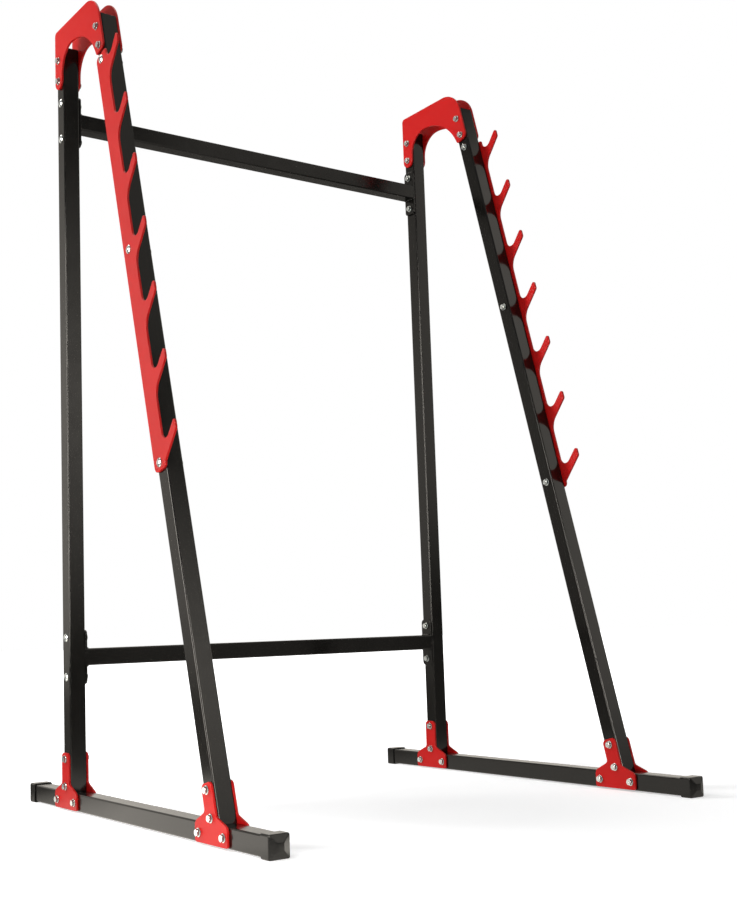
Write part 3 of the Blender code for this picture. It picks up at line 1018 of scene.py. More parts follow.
class WeldTree(PatternTree):
    """Weld bead along the edges of a mesh, with ripples and tapered ends."""

    stations = 140                # points along a bead
    facets = 16                   # round it
    taper = 0.08                  # share of its length over which each end thins
    tip = 0.15                    # thickness that is left at its very end

    def __init__(self) -> None:
        """Builds the group."""
        super().__init__("weld bead", {"Radius": "Float", "Pitch": "Float", "Ripple": "Float"})
        path = self.add("GeometryNodeMeshToCurve", {"Mesh": self.given["Geometry"]}).outputs[0]
        fine = self.add("GeometryNodeResampleCurve",
                        {"Curve": path, "Count": self.stations}).outputs[0]
        run = self.add("GeometryNodeSplineParameter").outputs
        turns = self.math("DIVIDE", run["Length"], self.given["Pitch"])
        wave = self.math("ABSOLUTE", self.math("SINE", self.math("MULTIPLY", turns, math.pi)))
        swell = self.math("ADD", 1.0, self.math("MULTIPLY", wave, self.given["Ripple"]))
        middle = self.math("ABSOLUTE", self.math("SUBTRACT", run["Factor"], 0.5))
        thinned = self.ramp(middle, 0.5, 0.5 - self.taper, self.tip, 1.0)
        radius = self.math("MULTIPLY", self.math("MULTIPLY", swell, thinned), self.given["Radius"])
        ring = self.add("GeometryNodeCurvePrimitiveCircle",
                        {"Resolution": self.facets, "Radius": 1.0}).outputs[0]
        bead = self.add("GeometryNodeCurveToMesh", {"Curve": fine, "Profile Curve": ring,
                                                    "Scale": radius, "Fill Caps": True}).outputs[0]
        self.close(self.add("GeometryNodeSetShadeSmooth", {"Geometry": bead}).outputs[0])


@dataclass
class Workshop:
    """What the makers of every sub-assembly share."""

    layout: Layout
    hex_bolt: HexBolt = HexBolt()
    domed_bolt: DomedBolt = DomedBolt()
    plate_edge: float = 0.0007    # rounding of a cut plate's rims under the coat
    hole_room: float = 0.0005     # between a bolt's shank and its hole
    materials: dict[Slot, bpy.types.Material] = field(init=False)
    bolt_tree: BoltTree = field(init=False)
    tube_tree: TubeTree = field(init=False)
    weld_tree: WeldTree = field(init=False)
    drill: bpy.types.Object = field(init=False)

    def __post_init__(self) -> None:
        """Makes the finishes and the pattern trees."""
        self.materials = {finish.slot: finish.make() for finish in FINISHES}
        self.bolt_tree, self.tube_tree, self.weld_tree = BoltTree(), TubeTree(), WeldTree()

    def set_drill(self, axes: Iterable[Flat]) -> None:
        """Makes the cutter for the bolt holes.

        Args:
            axes: (y, z) of each bolt.
        """
        reach = self.layout.spacing
        hole = circle(self.hex_bolt.thread / 2 + self.hole_room)
        self.drill = put("drill", joined(prism([(y + a, z + b) for a, b in hole], (-reach, reach))
                                         for y, z in axes))

    def drilled(self, mesh: bpy.types.Mesh) -> bpy.types.Mesh:
        """A mesh with its bolt holes cut and its shading set."""
        return shaded(worked(mesh, "BOOLEAN", operation="DIFFERENCE", solver="EXACT",
                             object=self.drill))

    def tube(self, length: float, place: Matrix, slope: float = 0.0,
             through: bool = True) -> bpy.types.Mesh:
        """A length of the square tube.

        Args:
            length: its length along its own z.
            place: where it stands in the rack.
            slope: slope of its lower end along its own y.
            through: drills it for the bolts that cross it.

        Returns:
            The mesh, in place.
        """
        tube = self.layout.tube
        sizes = {"Width": tube.width, "Wall": tube.wall, "Corner": tube.corner,
                 "Bore Corner": tube.bore_corner, "Length": length, "Foot Slope": slope,
                 "Material": self.materials[Slot.BLACK]}
        mesh = outward(self.tube_tree.run(bpy.data.meshes.new("start"), sizes))
        mesh = eased(mesh, tube.cut_edge, 2)
        mesh.transform(place)
        return self.drilled(mesh) if through else shaded(mesh)

    def plate(self, outline: Sequence[Flat], thickness: float, place: Matrix) -> bpy.types.Mesh:
        """A cut plate with soft rims and its bolt holes.

        Args:
            outline: its outline as (y, z) points.
            thickness: its thickness along x.
            place: where it stands in the rack.

        Returns:
            The mesh, in place.
        """
        mesh = prism(outline, (-thickness / 2, thickness / 2))
        mesh = outward(eased(mesh, self.plate_edge, 3))
        mesh.transform(place)
        return self.drilled(mesh)

    def bolts(self, name: str, bolt: HexBolt, points: Sequence[Corner], side: Side, grip: float,
              nodes: Sequence[str], seed: int) -> None:
        """A set of bolts with their heads outside, as one piece.

        Args:
            name: name of the piece.
            bolt: the kind of bolt.
            points: where the heads are seated.
            side: the frame that they are on.
            grip: thickness between head and nut.
            nodes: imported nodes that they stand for.
            seed: start of the random turns.
        """
        parts = {"Head": put("head", bolt.head_part(grip)), "Nut": put("nut", bolt.nut_part(grip))}
        base = bpy.data.meshes.new("points")
        base.from_pydata(points, [], [])
        mesh = self.bolt_tree.run(base, {**parts, "Tilt": side.value * QUARTER, "Seed": seed,
                                         "Material": self.materials[Slot.ZINC]})
        for part in parts.values():
            bpy.data.objects.remove(part)
        self.present(name, mesh, Slot.ZINC, nodes)

    def plate_pair(self, side: Side, kind: str, outline: Sequence[Flat],
                   thickness: float) -> None:
        """Makes the same red plate for the outer and the inner side of a frame.

        Args:
            side: the frame.
            kind: what the plate is, in the names of its piece and its node.
            outline: its outline as (y, z) points.
            thickness: its thickness.
        """
        for face in Face:
            word = face.name.lower()
            x = self.layout.face_x(side, face, self.layout.fit + thickness / 2)
            mesh = self.plate(outline, thickness, Matrix.Translation((x, 0, 0)))
            self.present(f"{side.label}_{kind}_plate_{word}", mesh, Slot.RED,
                         [f"{side.label}_{kind}_{word}"])

    def through_bolts(self, side: Side, kind: str, axes: dict[str, Flat], thickness: float,
                      seed: int) -> None:
        """Bolts a pair of plates through the tube between them.

        Args:
            side: the frame.
            kind: what the bolts are, in the names of their piece and their nodes.
            axes: (y, z) of each bolt by name.
            thickness: thickness of each plate.
            seed: start of the random turns.
        """
        layout = self.layout
        x = layout.face_x(side, Face.OUTER, layout.fit + thickness)
        grip = layout.tube.width + 2 * (layout.fit + thickness)
        self.bolts(f"{side.label}_{kind}s", self.hex_bolt, [(x, y, z) for y, z in axes.values()],
                   side, grip, [f"{side.label}_{kind}_{name}" for name in axes], seed)

    def present(self, name: str, mesh: bpy.types.Mesh, slot: Slot,
                nodes: Sequence[str] = ()) -> None:
        """Puts a finished mesh into the rack as a piece of it.

        Args:
            name: name of the piece.
            mesh: its mesh, in place.
            slot: the record's slot that its finish belongs to.
            nodes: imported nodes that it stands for.
        """
        mesh.name = name
        mesh.materials.clear()
        mesh.materials.append(self.materials[slot])
        obj = put(name, mesh)
        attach(obj, "root")
        if nodes:
            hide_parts(*nodes)
        log.info("%s: %d faces, for %s", name, len(mesh.polygons), ", ".join(nodes) or "no node")

    def close(self) -> None:
        """Clears the cutter away."""
        bpy.data.objects.remove(self.drill)


@dataclass(frozen=True)
class EndCap:
    """Push-on cap: a sleeve over the tube, closed by a low hipped end, made along z."""

    wall: float = 0.0027
    sleeve: float = 0.025
    end: float = 0.003
    peak: float = 0.006
    flat: float = 0.015
    corner: float = 0.004
    flat_corner: float = 0.0008
    lip: float = 0.0006           # rounding of the sleeve's mouth
    brow: float = 0.0016          # rounding where the sleeve meets the hipped end
    brow_steps: int = 5
    soft: float = 0.0010          # rounding of the flat's edge, to each side of it
    crest: float = 0.2            # its middle ring's width over the flat's, as a share of soft
    crest_drop: float = 0.05      # that ring's depth below the top, as a share of soft
    inward: float = 1.4           # width that the last ring lacks to the flat's, in the same
    inner_corner: float = 0.6     # that ring's corner radius, as a share of the flat's
    hip_shares: Corner = (0.12, 0.25, 0.7)  # rings from the brow to the flat
    hip_power: int = 4            # how fast the corners sharpen on the way
    facets: int = 8               # along each rounded corner

    def ring(self, size: float, corner: float, z: float) -> list[Corner]:
        """One ring of a square with round corners.

        Args:
            size: width of the square.
            corner: radius of its corners.
            z: its height.

        Returns:
            The points of the ring.
        """
        inset = size / 2 - corner
        points = []
        for quarter in range(4):
            angle = quarter * QUARTER
            middle = Matrix.Rotation(angle, 2) @ Vector((inset, inset))
            for i in range(self.facets + 1):
                turn = angle + QUARTER * i / self.facets
                points.append((middle.x + corner * math.cos(turn),
                               middle.y + corner * math.sin(turn), z))
        return points

    def sleeve_rings(self, tube: SquareTube, fit: float, size: float) -> list[list[Corner]]:
        """Rings from the bottom of the sleeve's bore over its mouth to its outside.

        Args:
            tube: the tube that it is pushed over.
            fit: gap round that tube.
            size: width of the sleeve outside.

        Returns:
            The rings.
        """
        bore = tube.width + 2 * fit
        return [self.ring(bore, tube.corner, self.sleeve + fit),
                self.ring(bore, tube.corner, self.lip),
                self.ring(bore + 2 * self.lip, tube.corner + self.lip, 0.0),
                self.ring(size - 2 * self.lip, self.corner - self.lip, 0.0),
                self.ring(size, self.corner, self.lip)]

    def hip_rings(self, size: float, rim: float) -> list[list[Corner]]:
        """Rings over the brow and up the four facets to the flat.

        Args:
            size: width of the sleeve outside.
            rim: height at which the facets would meet the sleeve.

        Returns:
            The rings.
        """
        slope = math.atan2(self.peak, (size - self.flat) / 2)
        radius = self.brow / math.tan((QUARTER - slope) / 2)
        rings = []
        for i in range(self.brow_steps + 1):
            turn = (QUARTER - slope) * i / self.brow_steps
            inward = radius * (1 - math.cos(turn))
            rings.append(self.ring(size - 2 * inward, self.corner - inward * 0.5,
                                   rim - self.brow + radius * math.sin(turn)))
        for share in self.hip_shares:
            corner = (self.flat_corner
                      + (self.corner - self.flat_corner) * (1 - share) ** self.hip_power)
            rings.append(self.ring(size + (self.flat - size) * share, corner,
                                   rim + self.peak * share))
        top = rim + self.peak
        rings += [self.ring(self.flat + 2 * self.soft, self.flat_corner + self.soft / 2,
                            top - self.soft * math.tan(slope)),
                  self.ring(self.flat + self.crest * self.soft, self.flat_corner,
                            top - self.crest_drop * self.soft),
                  self.ring(self.flat - self.inward * self.soft,
                            self.flat_corner * self.inner_corner, top)]
        return rings

    def mesh(self, tube: SquareTube, fit: float) -> bpy.types.Mesh:
        """The cap, its mouth at z = 0.

        Args:
            tube: the tube that it is pushed over.
            fit: gap round that tube.

        Returns:
            The closed mesh.
        """
        size = tube.width + 2 * fit + 2 * self.wall
        return skin([*self.sleeve_rings(tube, fit, size),
                     *self.hip_rings(size, self.sleeve + fit + self.end)])


@dataclass(frozen=True)
class Foot:
    """A tube along the floor with a cap pushed over each end."""

    cap: EndCap = EndCap()

    def build(self, shop: Workshop, side: Side) -> None:
        """Makes the tube and both caps of one foot.

        Args:
            shop: what makes and keeps the pieces.
            side: the frame that the foot belongs to.
        """
        layout = shop.layout
        x = layout.frame_x(side)
        middle = -side.value * layout.stagger / 2
        z = layout.foot_bottom + layout.tube.half
        place = (Matrix.Translation((x, middle - layout.foot_length / 2, z))
                 @ Matrix.Rotation(-QUARTER, 4, "X"))
        shop.present(f"{side.label}_foot", shop.tube(layout.foot_length, place), Slot.BLACK,
                     [f"{side.label}_foot_tube"])
        for end in End:
            mouth = middle + end.value * (layout.foot_length / 2 - self.cap.sleeve)
            mesh = self.cap.mesh(layout.tube, layout.fit)
            mesh.transform(Matrix.Translation((x, mouth, z))
                           @ Matrix.Rotation(-end.value * QUARTER, 4, "X"))
            word = end.name.lower()
            shop.present(f"{side.label}_end_cap_{word}", shaded(mesh), Slot.PLASTIC,
                         [f"{side.label}_foot_cap_{word}"])


@dataclass(frozen=True)
class Uprights:
    """The vertical rear tube and the leaning front tube, both open at the top."""

    def build(self, shop: Workshop, side: Side) -> None:
        """Makes both uprights of one frame.

        Args:
            shop: what makes and keeps the pieces.
            side: the frame.
        """
        layout = shop.layout
        x = layout.frame_x(side)
        place = Matrix.Translation((x, layout.rear_y, layout.upright_bottom))
        rear = shop.tube(layout.rear_top - layout.upright_bottom, place)
        shop.present(f"{side.label}_rear_post", rear, Slot.BLACK, [f"{side.label}_rear_upright"])
        front = shop.tube(layout.front_length, layout.lean_place(x), math.tan(layout.lean))
        shop.present(f"{side.label}_front_post", front, Slot.BLACK,
                     [f"{side.label}_front_upright"])


@dataclass(frozen=True)
class TopBracket:
    """Arched plates on both sides of a frame that tie its uprights at the top."""

    thickness: float = 0.005
    rise: float = 0.0491          # top edge above the rear upright
    bolt_drop: float = 0.031      # upper bolt below the top of its upright
    front_drop: float = 0.0267
    bolt_pitch: float = 0.0538
    leg_margin: float = 0.0155    # front leg's end beyond its lower bolt
    apex_radius: float = 0.077
    corner_radius: float = 0.010
    leg_radius: float = 0.015
    leg_inner_radius: float = 0.006
    crown_drop: float = 0.061     # highest point of the arch below the top edge
    arch_radius: float = 0.060    # of its rear part
    seed: int = 11                # of the bolts' random turns

    def bolts(self, layout: Layout) -> dict[str, Flat]:
        """Places of its bolts.

        Args:
            layout: where the uprights stand.

        Returns:
            (y, z) of each bolt by name.
        """
        found = {}
        for level, drop in (("upper", 0.0), ("lower", self.bolt_pitch)):
            found[f"rear_{level}"] = (layout.rear_y, layout.rear_top - self.bolt_drop - drop)
            found[f"front_{level}"] = layout.lean_point(
                layout.front_length - self.front_drop - drop)
        return found

    def outline(self, layout: Layout) -> list[Flat]:
        """Its outline, from the rear leg round to the front leg and over the top.

        Args:
            layout: where the uprights stand.

        Returns:
            The (y, z) points.
        """
        half = layout.tube.half
        top = layout.rear_top + self.rise
        crown = (layout.rear_y - half - self.arch_radius, top - self.crown_drop)
        leg_end = layout.front_length - self.front_drop - self.bolt_pitch - self.leg_margin
        leg = layout.lean_point(leg_end, -half)
        chord, sag = crown[0] - leg[0], crown[1] - leg[1]
        radius = (chord ** 2 + sag ** 2) / (2 * sag)
        turn = 2 * math.atan2(sag, chord)
        smooth = arc(self.bolts(layout)["rear_lower"], half, 0, -math.pi)
        smooth += arc((crown[0], crown[1] - self.arch_radius), self.arch_radius, 0, QUARTER)
        smooth += arc((crown[0], crown[1] - radius), radius, QUARTER, QUARTER + turn)[1:-1]
        apex = layout.lean_point(layout.lean_along(top, half), half)
        return rounded([*((y, z, 0.0) for y, z in smooth), (*leg, self.leg_inner_radius),
                        (*layout.lean_point(leg_end, half), self.leg_radius),
                        (*apex, self.apex_radius),
                        (layout.rear_y + half, top, self.corner_radius)])

    def build(self, shop: Workshop, side: Side) -> None:
        """Makes both brackets of one frame and their bolts."""
        shop.plate_pair(side, "top_bracket", self.outline(shop.layout), self.thickness)
        shop.through_bolts(side, "bracket_bolt", self.bolts(shop.layout), self.thickness,
                           self.seed)


@dataclass(frozen=True)
class Gusset:
    """Plates on both sides of a frame: a neck on the upright over a base on the foot."""

    upright: End
    shoulder: Flat                # where the neck starts above the foot, ahead and behind
    neck: float                   # top of the neck along the upright
    neck_bolts: Flat
    seed: int                     # of the bolts' random turns
    base_shift: float = 0.0       # middle of the base behind the upright's centre line
    thickness: float = 0.005
    half_base: float = 0.064
    lift: float = 0.0015          # lower edge above the underside of the foot tube
    neck_radius: float = 0.011
    shoulder_radius: float = 0.014
    fillet: float = 0.009
    base_radius: float = 0.006
    bolt_pitch: float = 0.098

    @property
    def word(self) -> str:
        """The upright that it holds, in a word."""
        return self.upright.name.lower()

    def on_upright(self, layout: Layout, along: float, ahead: float = 0.0) -> Flat:
        """A point of its upright.

        Args:
            layout: where the uprights stand.
            along: how far up the upright it is.
            ahead: how far ahead of the centre line.

        Returns:
            Its (y, z).
        """
        if self.upright is End.REAR:
            return layout.rear_y - ahead, layout.foot_top + along
        return layout.lean_point(along, ahead)

    def base_y(self, layout: Layout) -> float:
        """Middle of its base."""
        start = layout.rear_y if self.upright is End.REAR else layout.front_y
        return start + self.base_shift

    def bolts(self, layout: Layout) -> dict[str, Flat]:
        """Places of its bolts.

        Args:
            layout: where the foot and the uprights stand.

        Returns:
            (y, z) of each bolt by name.
        """
        middle = layout.foot_bottom + layout.tube.half
        base, out = self.base_y(layout), self.bolt_pitch / 2
        top, neck = [self.on_upright(layout, along) for along in self.neck_bolts]
        return {"top": top, "neck": neck, "back": (base + out, middle),
                "front": (base - out, middle)}

    def outline(self, layout: Layout) -> list[Flat]:
        """Its outline, up the rear side and down the front one.

        Args:
            layout: where the foot and the uprights stand.

        Returns:
            The (y, z) points.
        """
        half = layout.tube.half
        corners = []
        for sign, rise in ((1, self.shoulder[1]), (-1, self.shoulder[0])):
            edge = self.base_y(layout) + sign * self.half_base
            ahead = -sign * half
            along = rise
            if self.upright is End.FRONT:
                along = layout.lean_along(layout.foot_top + rise, ahead)
            stretch = [(edge, layout.foot_bottom + self.lift, self.base_radius),
                       (edge, layout.foot_top, self.shoulder_radius),
                       (*self.on_upright(layout, along, ahead), self.fillet),
                       (*self.on_upright(layout, self.neck, ahead), self.neck_radius)]
            corners += stretch if sign == 1 else reversed(stretch)
        return rounded(corners)

    def build(self, shop: Workshop, side: Side) -> None:
        """Makes both gussets of one upright and their bolts.

        Args:
            shop: what makes and keeps the pieces.
            side: the frame.
        """
        kind = f"{self.word}_gusset"
        shop.plate_pair(side, kind, self.outline(shop.layout), self.thickness)
        shop.through_bolts(side, f"{kind}_bolt", self.bolts(shop.layout), self.thickness,
                           self.seed)


@dataclass(frozen=True)
class HookComb:
    """Plate with seven hooks along the outer side of the front upright."""

    thickness: float = 0.005
    drop: float = 0.107           # top of the comb below the top of the upright
    overhang: float = 0.004       # beyond the upright's rear face
    edge: float = 0.0065          # front edge between hooks, ahead of the upright's face
    first_seat: float = 0.0293    # lowest point of the first seat, below the comb's top
    last_margin: float = 0.0573   # the comb's end below the last seat
    count: int = 7
    pitch: float = 0.1626
    angle: float = math.radians(36.5)
    reach: float = 0.071          # tip ahead of the upright's face
    width: float = 0.0215
    seat_radius: float = 0.0185
    tip_radius: float = 0.0055
    heel_radius: float = 0.008
    root_radius: float = 0.045
    last_root_radius: float = 0.008
    top_radius: float = 0.006
    back_radius: float = 0.012
    end_radius: float = 0.014
    top_margin: float = 0.014     # top bolt from the comb's top
    end_margin: float = 0.0178    # last bolt from the comb's lower end
    seed: int = 31                # of the bolts' random turns

    def span(self, layout: Layout) -> Flat:
        """Where its top and its lower end are along the front upright."""
        top = layout.front_length - self.drop
        return top, top - self.first_seat - (self.count - 1) * self.pitch - self.last_margin

    def bolts(self, layout: Layout) -> dict[str, Flat]:
        """Places of its bolts.

        Args:
            layout: where the front upright stands.

        Returns:
            (y, z) of each bolt by name.
        """
        top, bottom = self.span(layout)
        high, low = top - self.top_margin, bottom + self.end_margin
        return {"top": layout.lean_point(high), "middle": layout.lean_point((high + low) / 2),
                "low": layout.lean_point(low)}

    def hook(self, seat: float, half: float, root_radius: float) -> list[Corner]:
        """Corners of one hook, from the comb's edge above it down.

        Args:
            seat: lowest point of its seat along the upright.
            half: distance of the upright's face from its centre line.
            root_radius: radius under the hook.

        Returns:
            (ahead, along, radius) of each corner.
        """
        edge, tip = half + self.edge, half + self.reach
        slope = math.tan(self.angle)
        crook = seat + self.seat_radius * (1 - 1 / math.cos(self.angle) - slope)
        heel = crook - self.width / math.cos(self.angle)
        rise = (tip - edge) * slope
        return [(edge, crook, self.seat_radius), (tip, crook + rise, self.tip_radius),
                (tip, heel + rise, self.heel_radius), (edge, heel, root_radius)]

    def outline(self, layout: Layout) -> list[Flat]:
        """Its outline along the front upright.

        Args:
            layout: where that upright stands.

        Returns:
            The (-ahead, along) points.
        """
        half = layout.tube.half
        back, edge = -half - self.overhang, half + self.edge
        top, bottom = self.span(layout)
        corners = [(back, top, self.back_radius), (edge, top, self.top_radius)]
        for i in range(self.count):
            radius = self.root_radius if i < self.count - 1 else self.last_root_radius
            corners += self.hook(top - self.first_seat - i * self.pitch, half, radius)
        corners += [(edge, bottom, self.end_radius), (back, bottom, self.end_radius)]
        return rounded([(-ahead, along, radius) for ahead, along, radius in corners])

    def build(self, shop: Workshop, side: Side) -> None:
        """Makes the comb of one frame and its bolts.

        Args:
            shop: what makes and keeps the pieces.
            side: the frame.
        """
        layout = shop.layout
        x = layout.face_x(side, Face.OUTER, layout.fit + self.thickness / 2)
        mesh = shop.plate(self.outline(layout), self.thickness, layout.lean_place(x))
        shop.present(f"{side.label}_comb", mesh, Slot.RED, [f"{side.label}_hook_comb"])
        seat = layout.face_x(side, Face.OUTER, layout.fit + self.thickness)
        shop.bolts(f"{side.label}_comb_bolts", shop.domed_bolt,
                   [(seat, y, z) for y, z in self.bolts(layout).values()], side,
                   self.thickness + layout.fit + layout.tube.width, [], self.seed)


@dataclass(frozen=True)
class Crossbar:
    """Tube between the rear uprights, with a bolted plate welded to each end."""

    name: str
    z: float                      # height of its centre line
    plate: float = 0.005
    plate_height: float = 0.130
    plate_radius: float = 0.010
    bolt_pitch: float = 0.094
    bead: float = 0.0044
    bead_pitch: float = 0.0034
    bead_ripple: float = 0.10
    bead_sink: float = 0.35       # share of the bead's radius that is in the metal
    bead_margin: float = 0.002    # from its end to the tube's corner
    seed: int = 43                # of the bolts' random turns

    def bolts(self, layout: Layout) -> dict[str, Flat]:
        """Places of its bolts, the same at both ends.

        Args:
            layout: where the rear uprights stand.

        Returns:
            (y, z) of each bolt by name.
        """
        return {"upper": (layout.rear_y, self.z + self.bolt_pitch / 2),
                "lower": (layout.rear_y, self.z - self.bolt_pitch / 2)}

    def weld(self, shop: Workshop, inner: float) -> None:
        """Beads over and under the bar, where it meets the end plates.

        Args:
            shop: what makes and keeps the pieces.
            inner: distance of the end plates' inner faces from the middle of the rack.
        """
        layout = shop.layout
        half, sink = layout.tube.half, self.bead * self.bead_sink
        run = half - self.bead_margin
        points, edges = [], []
        for x in (-inner + sink, inner - sink):
            for z in (self.z - half + sink, self.z + half - sink):
                edges.append((len(points), len(points) + 1))
                points += [(x, layout.rear_y - run, z), (x, layout.rear_y + run, z)]
        path = bpy.data.meshes.new("path")
        path.from_pydata(points, edges, [])
        mesh = shop.weld_tree.run(path, {"Radius": self.bead, "Pitch": self.bead_pitch,
                                         "Ripple": self.bead_ripple,
                                         "Material": shop.materials[Slot.BLACK]})
        shop.present(f"{self.name}_welds", outward(mesh), Slot.BLACK)

    def build(self, shop: Workshop) -> None:
        """Makes the bar, its end plates, welds and bolts.

        Args:
            shop: what makes and keeps the pieces.
        """
        layout = shop.layout
        inner = layout.spacing / 2 - layout.tube.half - layout.fit - self.plate
        place = (Matrix.Translation((-inner, layout.rear_y, self.z))
                 @ Matrix.Rotation(QUARTER, 4, "Y"))
        bar = shop.tube(2 * inner, place, through=False)
        shop.present(f"{self.name}_tube", bar, Slot.BLACK, [self.name])
        outline = [(layout.rear_y + y, self.z + z) for y, z in
                   rectangle(layout.tube.width, self.plate_height, self.plate_radius)]
        axes = self.bolts(layout)
        grip = self.plate + layout.fit + layout.tube.width
        for side in Side:
            x = side.value * (inner + self.plate / 2)
            plate = shop.plate(outline, self.plate, Matrix.Translation((x, 0, 0)))
            shop.present(f"{side.label}_{self.name}_end_plate", plate, Slot.BLACK)
            seat = layout.face_x(side, Face.OUTER)
            shop.bolts(f"{side.label}_{self.name}_bolts", shop.domed_bolt,
                       [(seat, y, z) for y, z in axes.values()], side, grip,
                       [f"{side.label}_{self.name}_bolt_{name}" for name in axes],
                       self.seed + side.value)
        self.weld(shop, inner)


@dataclass(frozen=True)
class Panel:
    """Soft bright surface that only shiny faces see, fading out towards its rims."""

    name: str
    place: Corner
    target: Corner
    size: Flat
    strength: float
    across: Flat                  # width of the fade at its left and right, as its back shows
    along: Flat                   # height of the fade below and above
    floor: float = 0.0            # share of the strength that is left at the lower rim

    def make(self) -> None:
        """Builds the panel as part of the studio."""
        wide, tall = self.size[0] / 2, self.size[1] / 2
        material, graph = new_material(self.name)
        graph.tree.nodes.clear()
        axes = graph.axes(graph.add("ShaderNodeTexCoord").outputs["Object"])
        level = self.strength
        for share in (graph.ramp(axes["X"], -wide, self.across[0] - wide),
                      graph.ramp(axes["X"], wide - self.across[1], wide, 1.0, 0.0),
                      graph.ramp(axes["Y"], -tall, self.along[0] - tall, self.floor, 1.0),
                      graph.ramp(axes["Y"], tall - self.along[1], tall, 1.0, 0.0)):
            level = graph.math("MULTIPLY", share, level)
        glow = graph.add("ShaderNodeEmission", {"Color": WARM, "Strength": level}).outputs[0]
        graph.add("ShaderNodeOutputMaterial", {"Surface": glow})
        panel = put(self.name, sheet(self.name, *self.size))
        panel.data.materials.append(material)
        aim(panel, self.place, self.target, "Z")
        panel.visible_camera = panel.visible_diffuse = panel.visible_shadow = False
        panel.visible_transmission = False


@dataclass(frozen=True)
class Lamp:
    """Soft lamp that lights the object without a mirror image of its own."""

    name: str
    place: Corner
    target: Corner
    size: Flat
    level: float                  # brightness of its face, where 1 is white

    def make(self) -> None:
        """Builds the lamp."""
        data = bpy.data.lights.new(self.name, "AREA")
        data.shape = "RECTANGLE"
        data.size, data.size_y = self.size
        data.energy = self.level * math.pi * self.size[0] * self.size[1]
        lamp = put(self.name, data)
        aim(lamp, self.place, self.target, "-Z")
        lamp.visible_glossy = lamp.visible_camera = False


LIGHTS = (
    Lamp("key lamp", (-2.3, 2.2, 1.8), (0.0, 0.0, 1.0), (1.2, 2.2), 11.6),
    Lamp("top lamp", (-1.4, -0.6, 4.2), (0.0, 0.0, 0.0), (2.6, 2.6), 1.6),
    Lamp("low lamp", (-1.25, -0.95, 0.16), (-0.58, -0.35, 0.06), (0.5, 0.2), 23.0),
    Panel("backdrop", (1.45, 6.0, 3.15), (1.45, 0.0, 3.15), (17.1, 6.3), 0.88,
          (4.5, 1.5), (0.7, 4.1), 0.62),
    Panel("front softbox", (1.35, -2.8, 1.62), (1.35, 0.0, 1.62), (2.4, 3.0), 1.56,
          (1.8, 0.6), (1.4, 1.4)),
    Panel("high front", (1.0, -2.8, 5.4), (1.0, 0.0, 3.0), (4.0, 4.2), 0.42,
          (0.6, 0.6), (0.5, 0.5)),
    Panel("right wall", (3.9, -1.6, 2.9), (0.0, 0.0, 2.9), (7.0, 5.0), 1.0,
          (0.6, 2.56), (1.0, 0.6)),
    Panel("left strip", (-3.2, 0.2, 1.3), (0.0, 0.0, 1.1), (1.2, 2.0), 14.0,
          (0.1, 0.1), (0.1, 0.1)),
    Panel("front strip", (-1.0, -4.4, 1.6), (0.0, 0.0, 1.1), (1.0, 2.4), 22.0,
          (0.1, 0.1), (0.1, 0.1)),
    Panel("bar glow", (1.9, -2.7, 3.05), (1.9, 0.0, 3.05), (1.9, 0.7), 0.62,
          (0.3, 0.5), (0.25, 0.25)),
    Panel("low glow", (1.9, -2.7, 0.3), (1.9, 0.0, 0.3), (2.4, 0.36), 0.32,
          (0.3, 0.3), (0.1, 0.1)),
    Panel("high back", (-0.8, 5.4, 7.4), (-0.8, 0.0, 1.0), (5.0, 2.0), 7.0,
          (0.3, 0.3), (0.2, 0.2)),
    Panel("ceiling", (0.0, 0.9, 4.6), (0.0, 0.9, 0.0), (5.0, 3.0), 2.0,
          (0.4, 0.4), (0.4, 0.4)),
)


@dataclass(frozen=True)
class Pool:
    """Round patch of the floor that shiny faces see bright."""

    center: Corner
    level: float
    near: float                   # radius up to which it is fully bright
    far: float                    # radius at which it ends

    def add_to(self, graph: NodeGraph, place: bpy.types.NodeSocket,
               level: object) -> bpy.types.NodeSocket:
        """Adds its light to what shiny faces see of the floor so far.

        Args:
            graph: the floor's graph.
            place: socket of the floor's coordinates.
            level: the light so far, a number or a socket.

        Returns:
            The socket of the light with the pool.
        """
        share = graph.ramp(graph.distance(place, self.center), self.near, self.far,
                           self.level, 0.0)
        return graph.math("ADD", share, level)


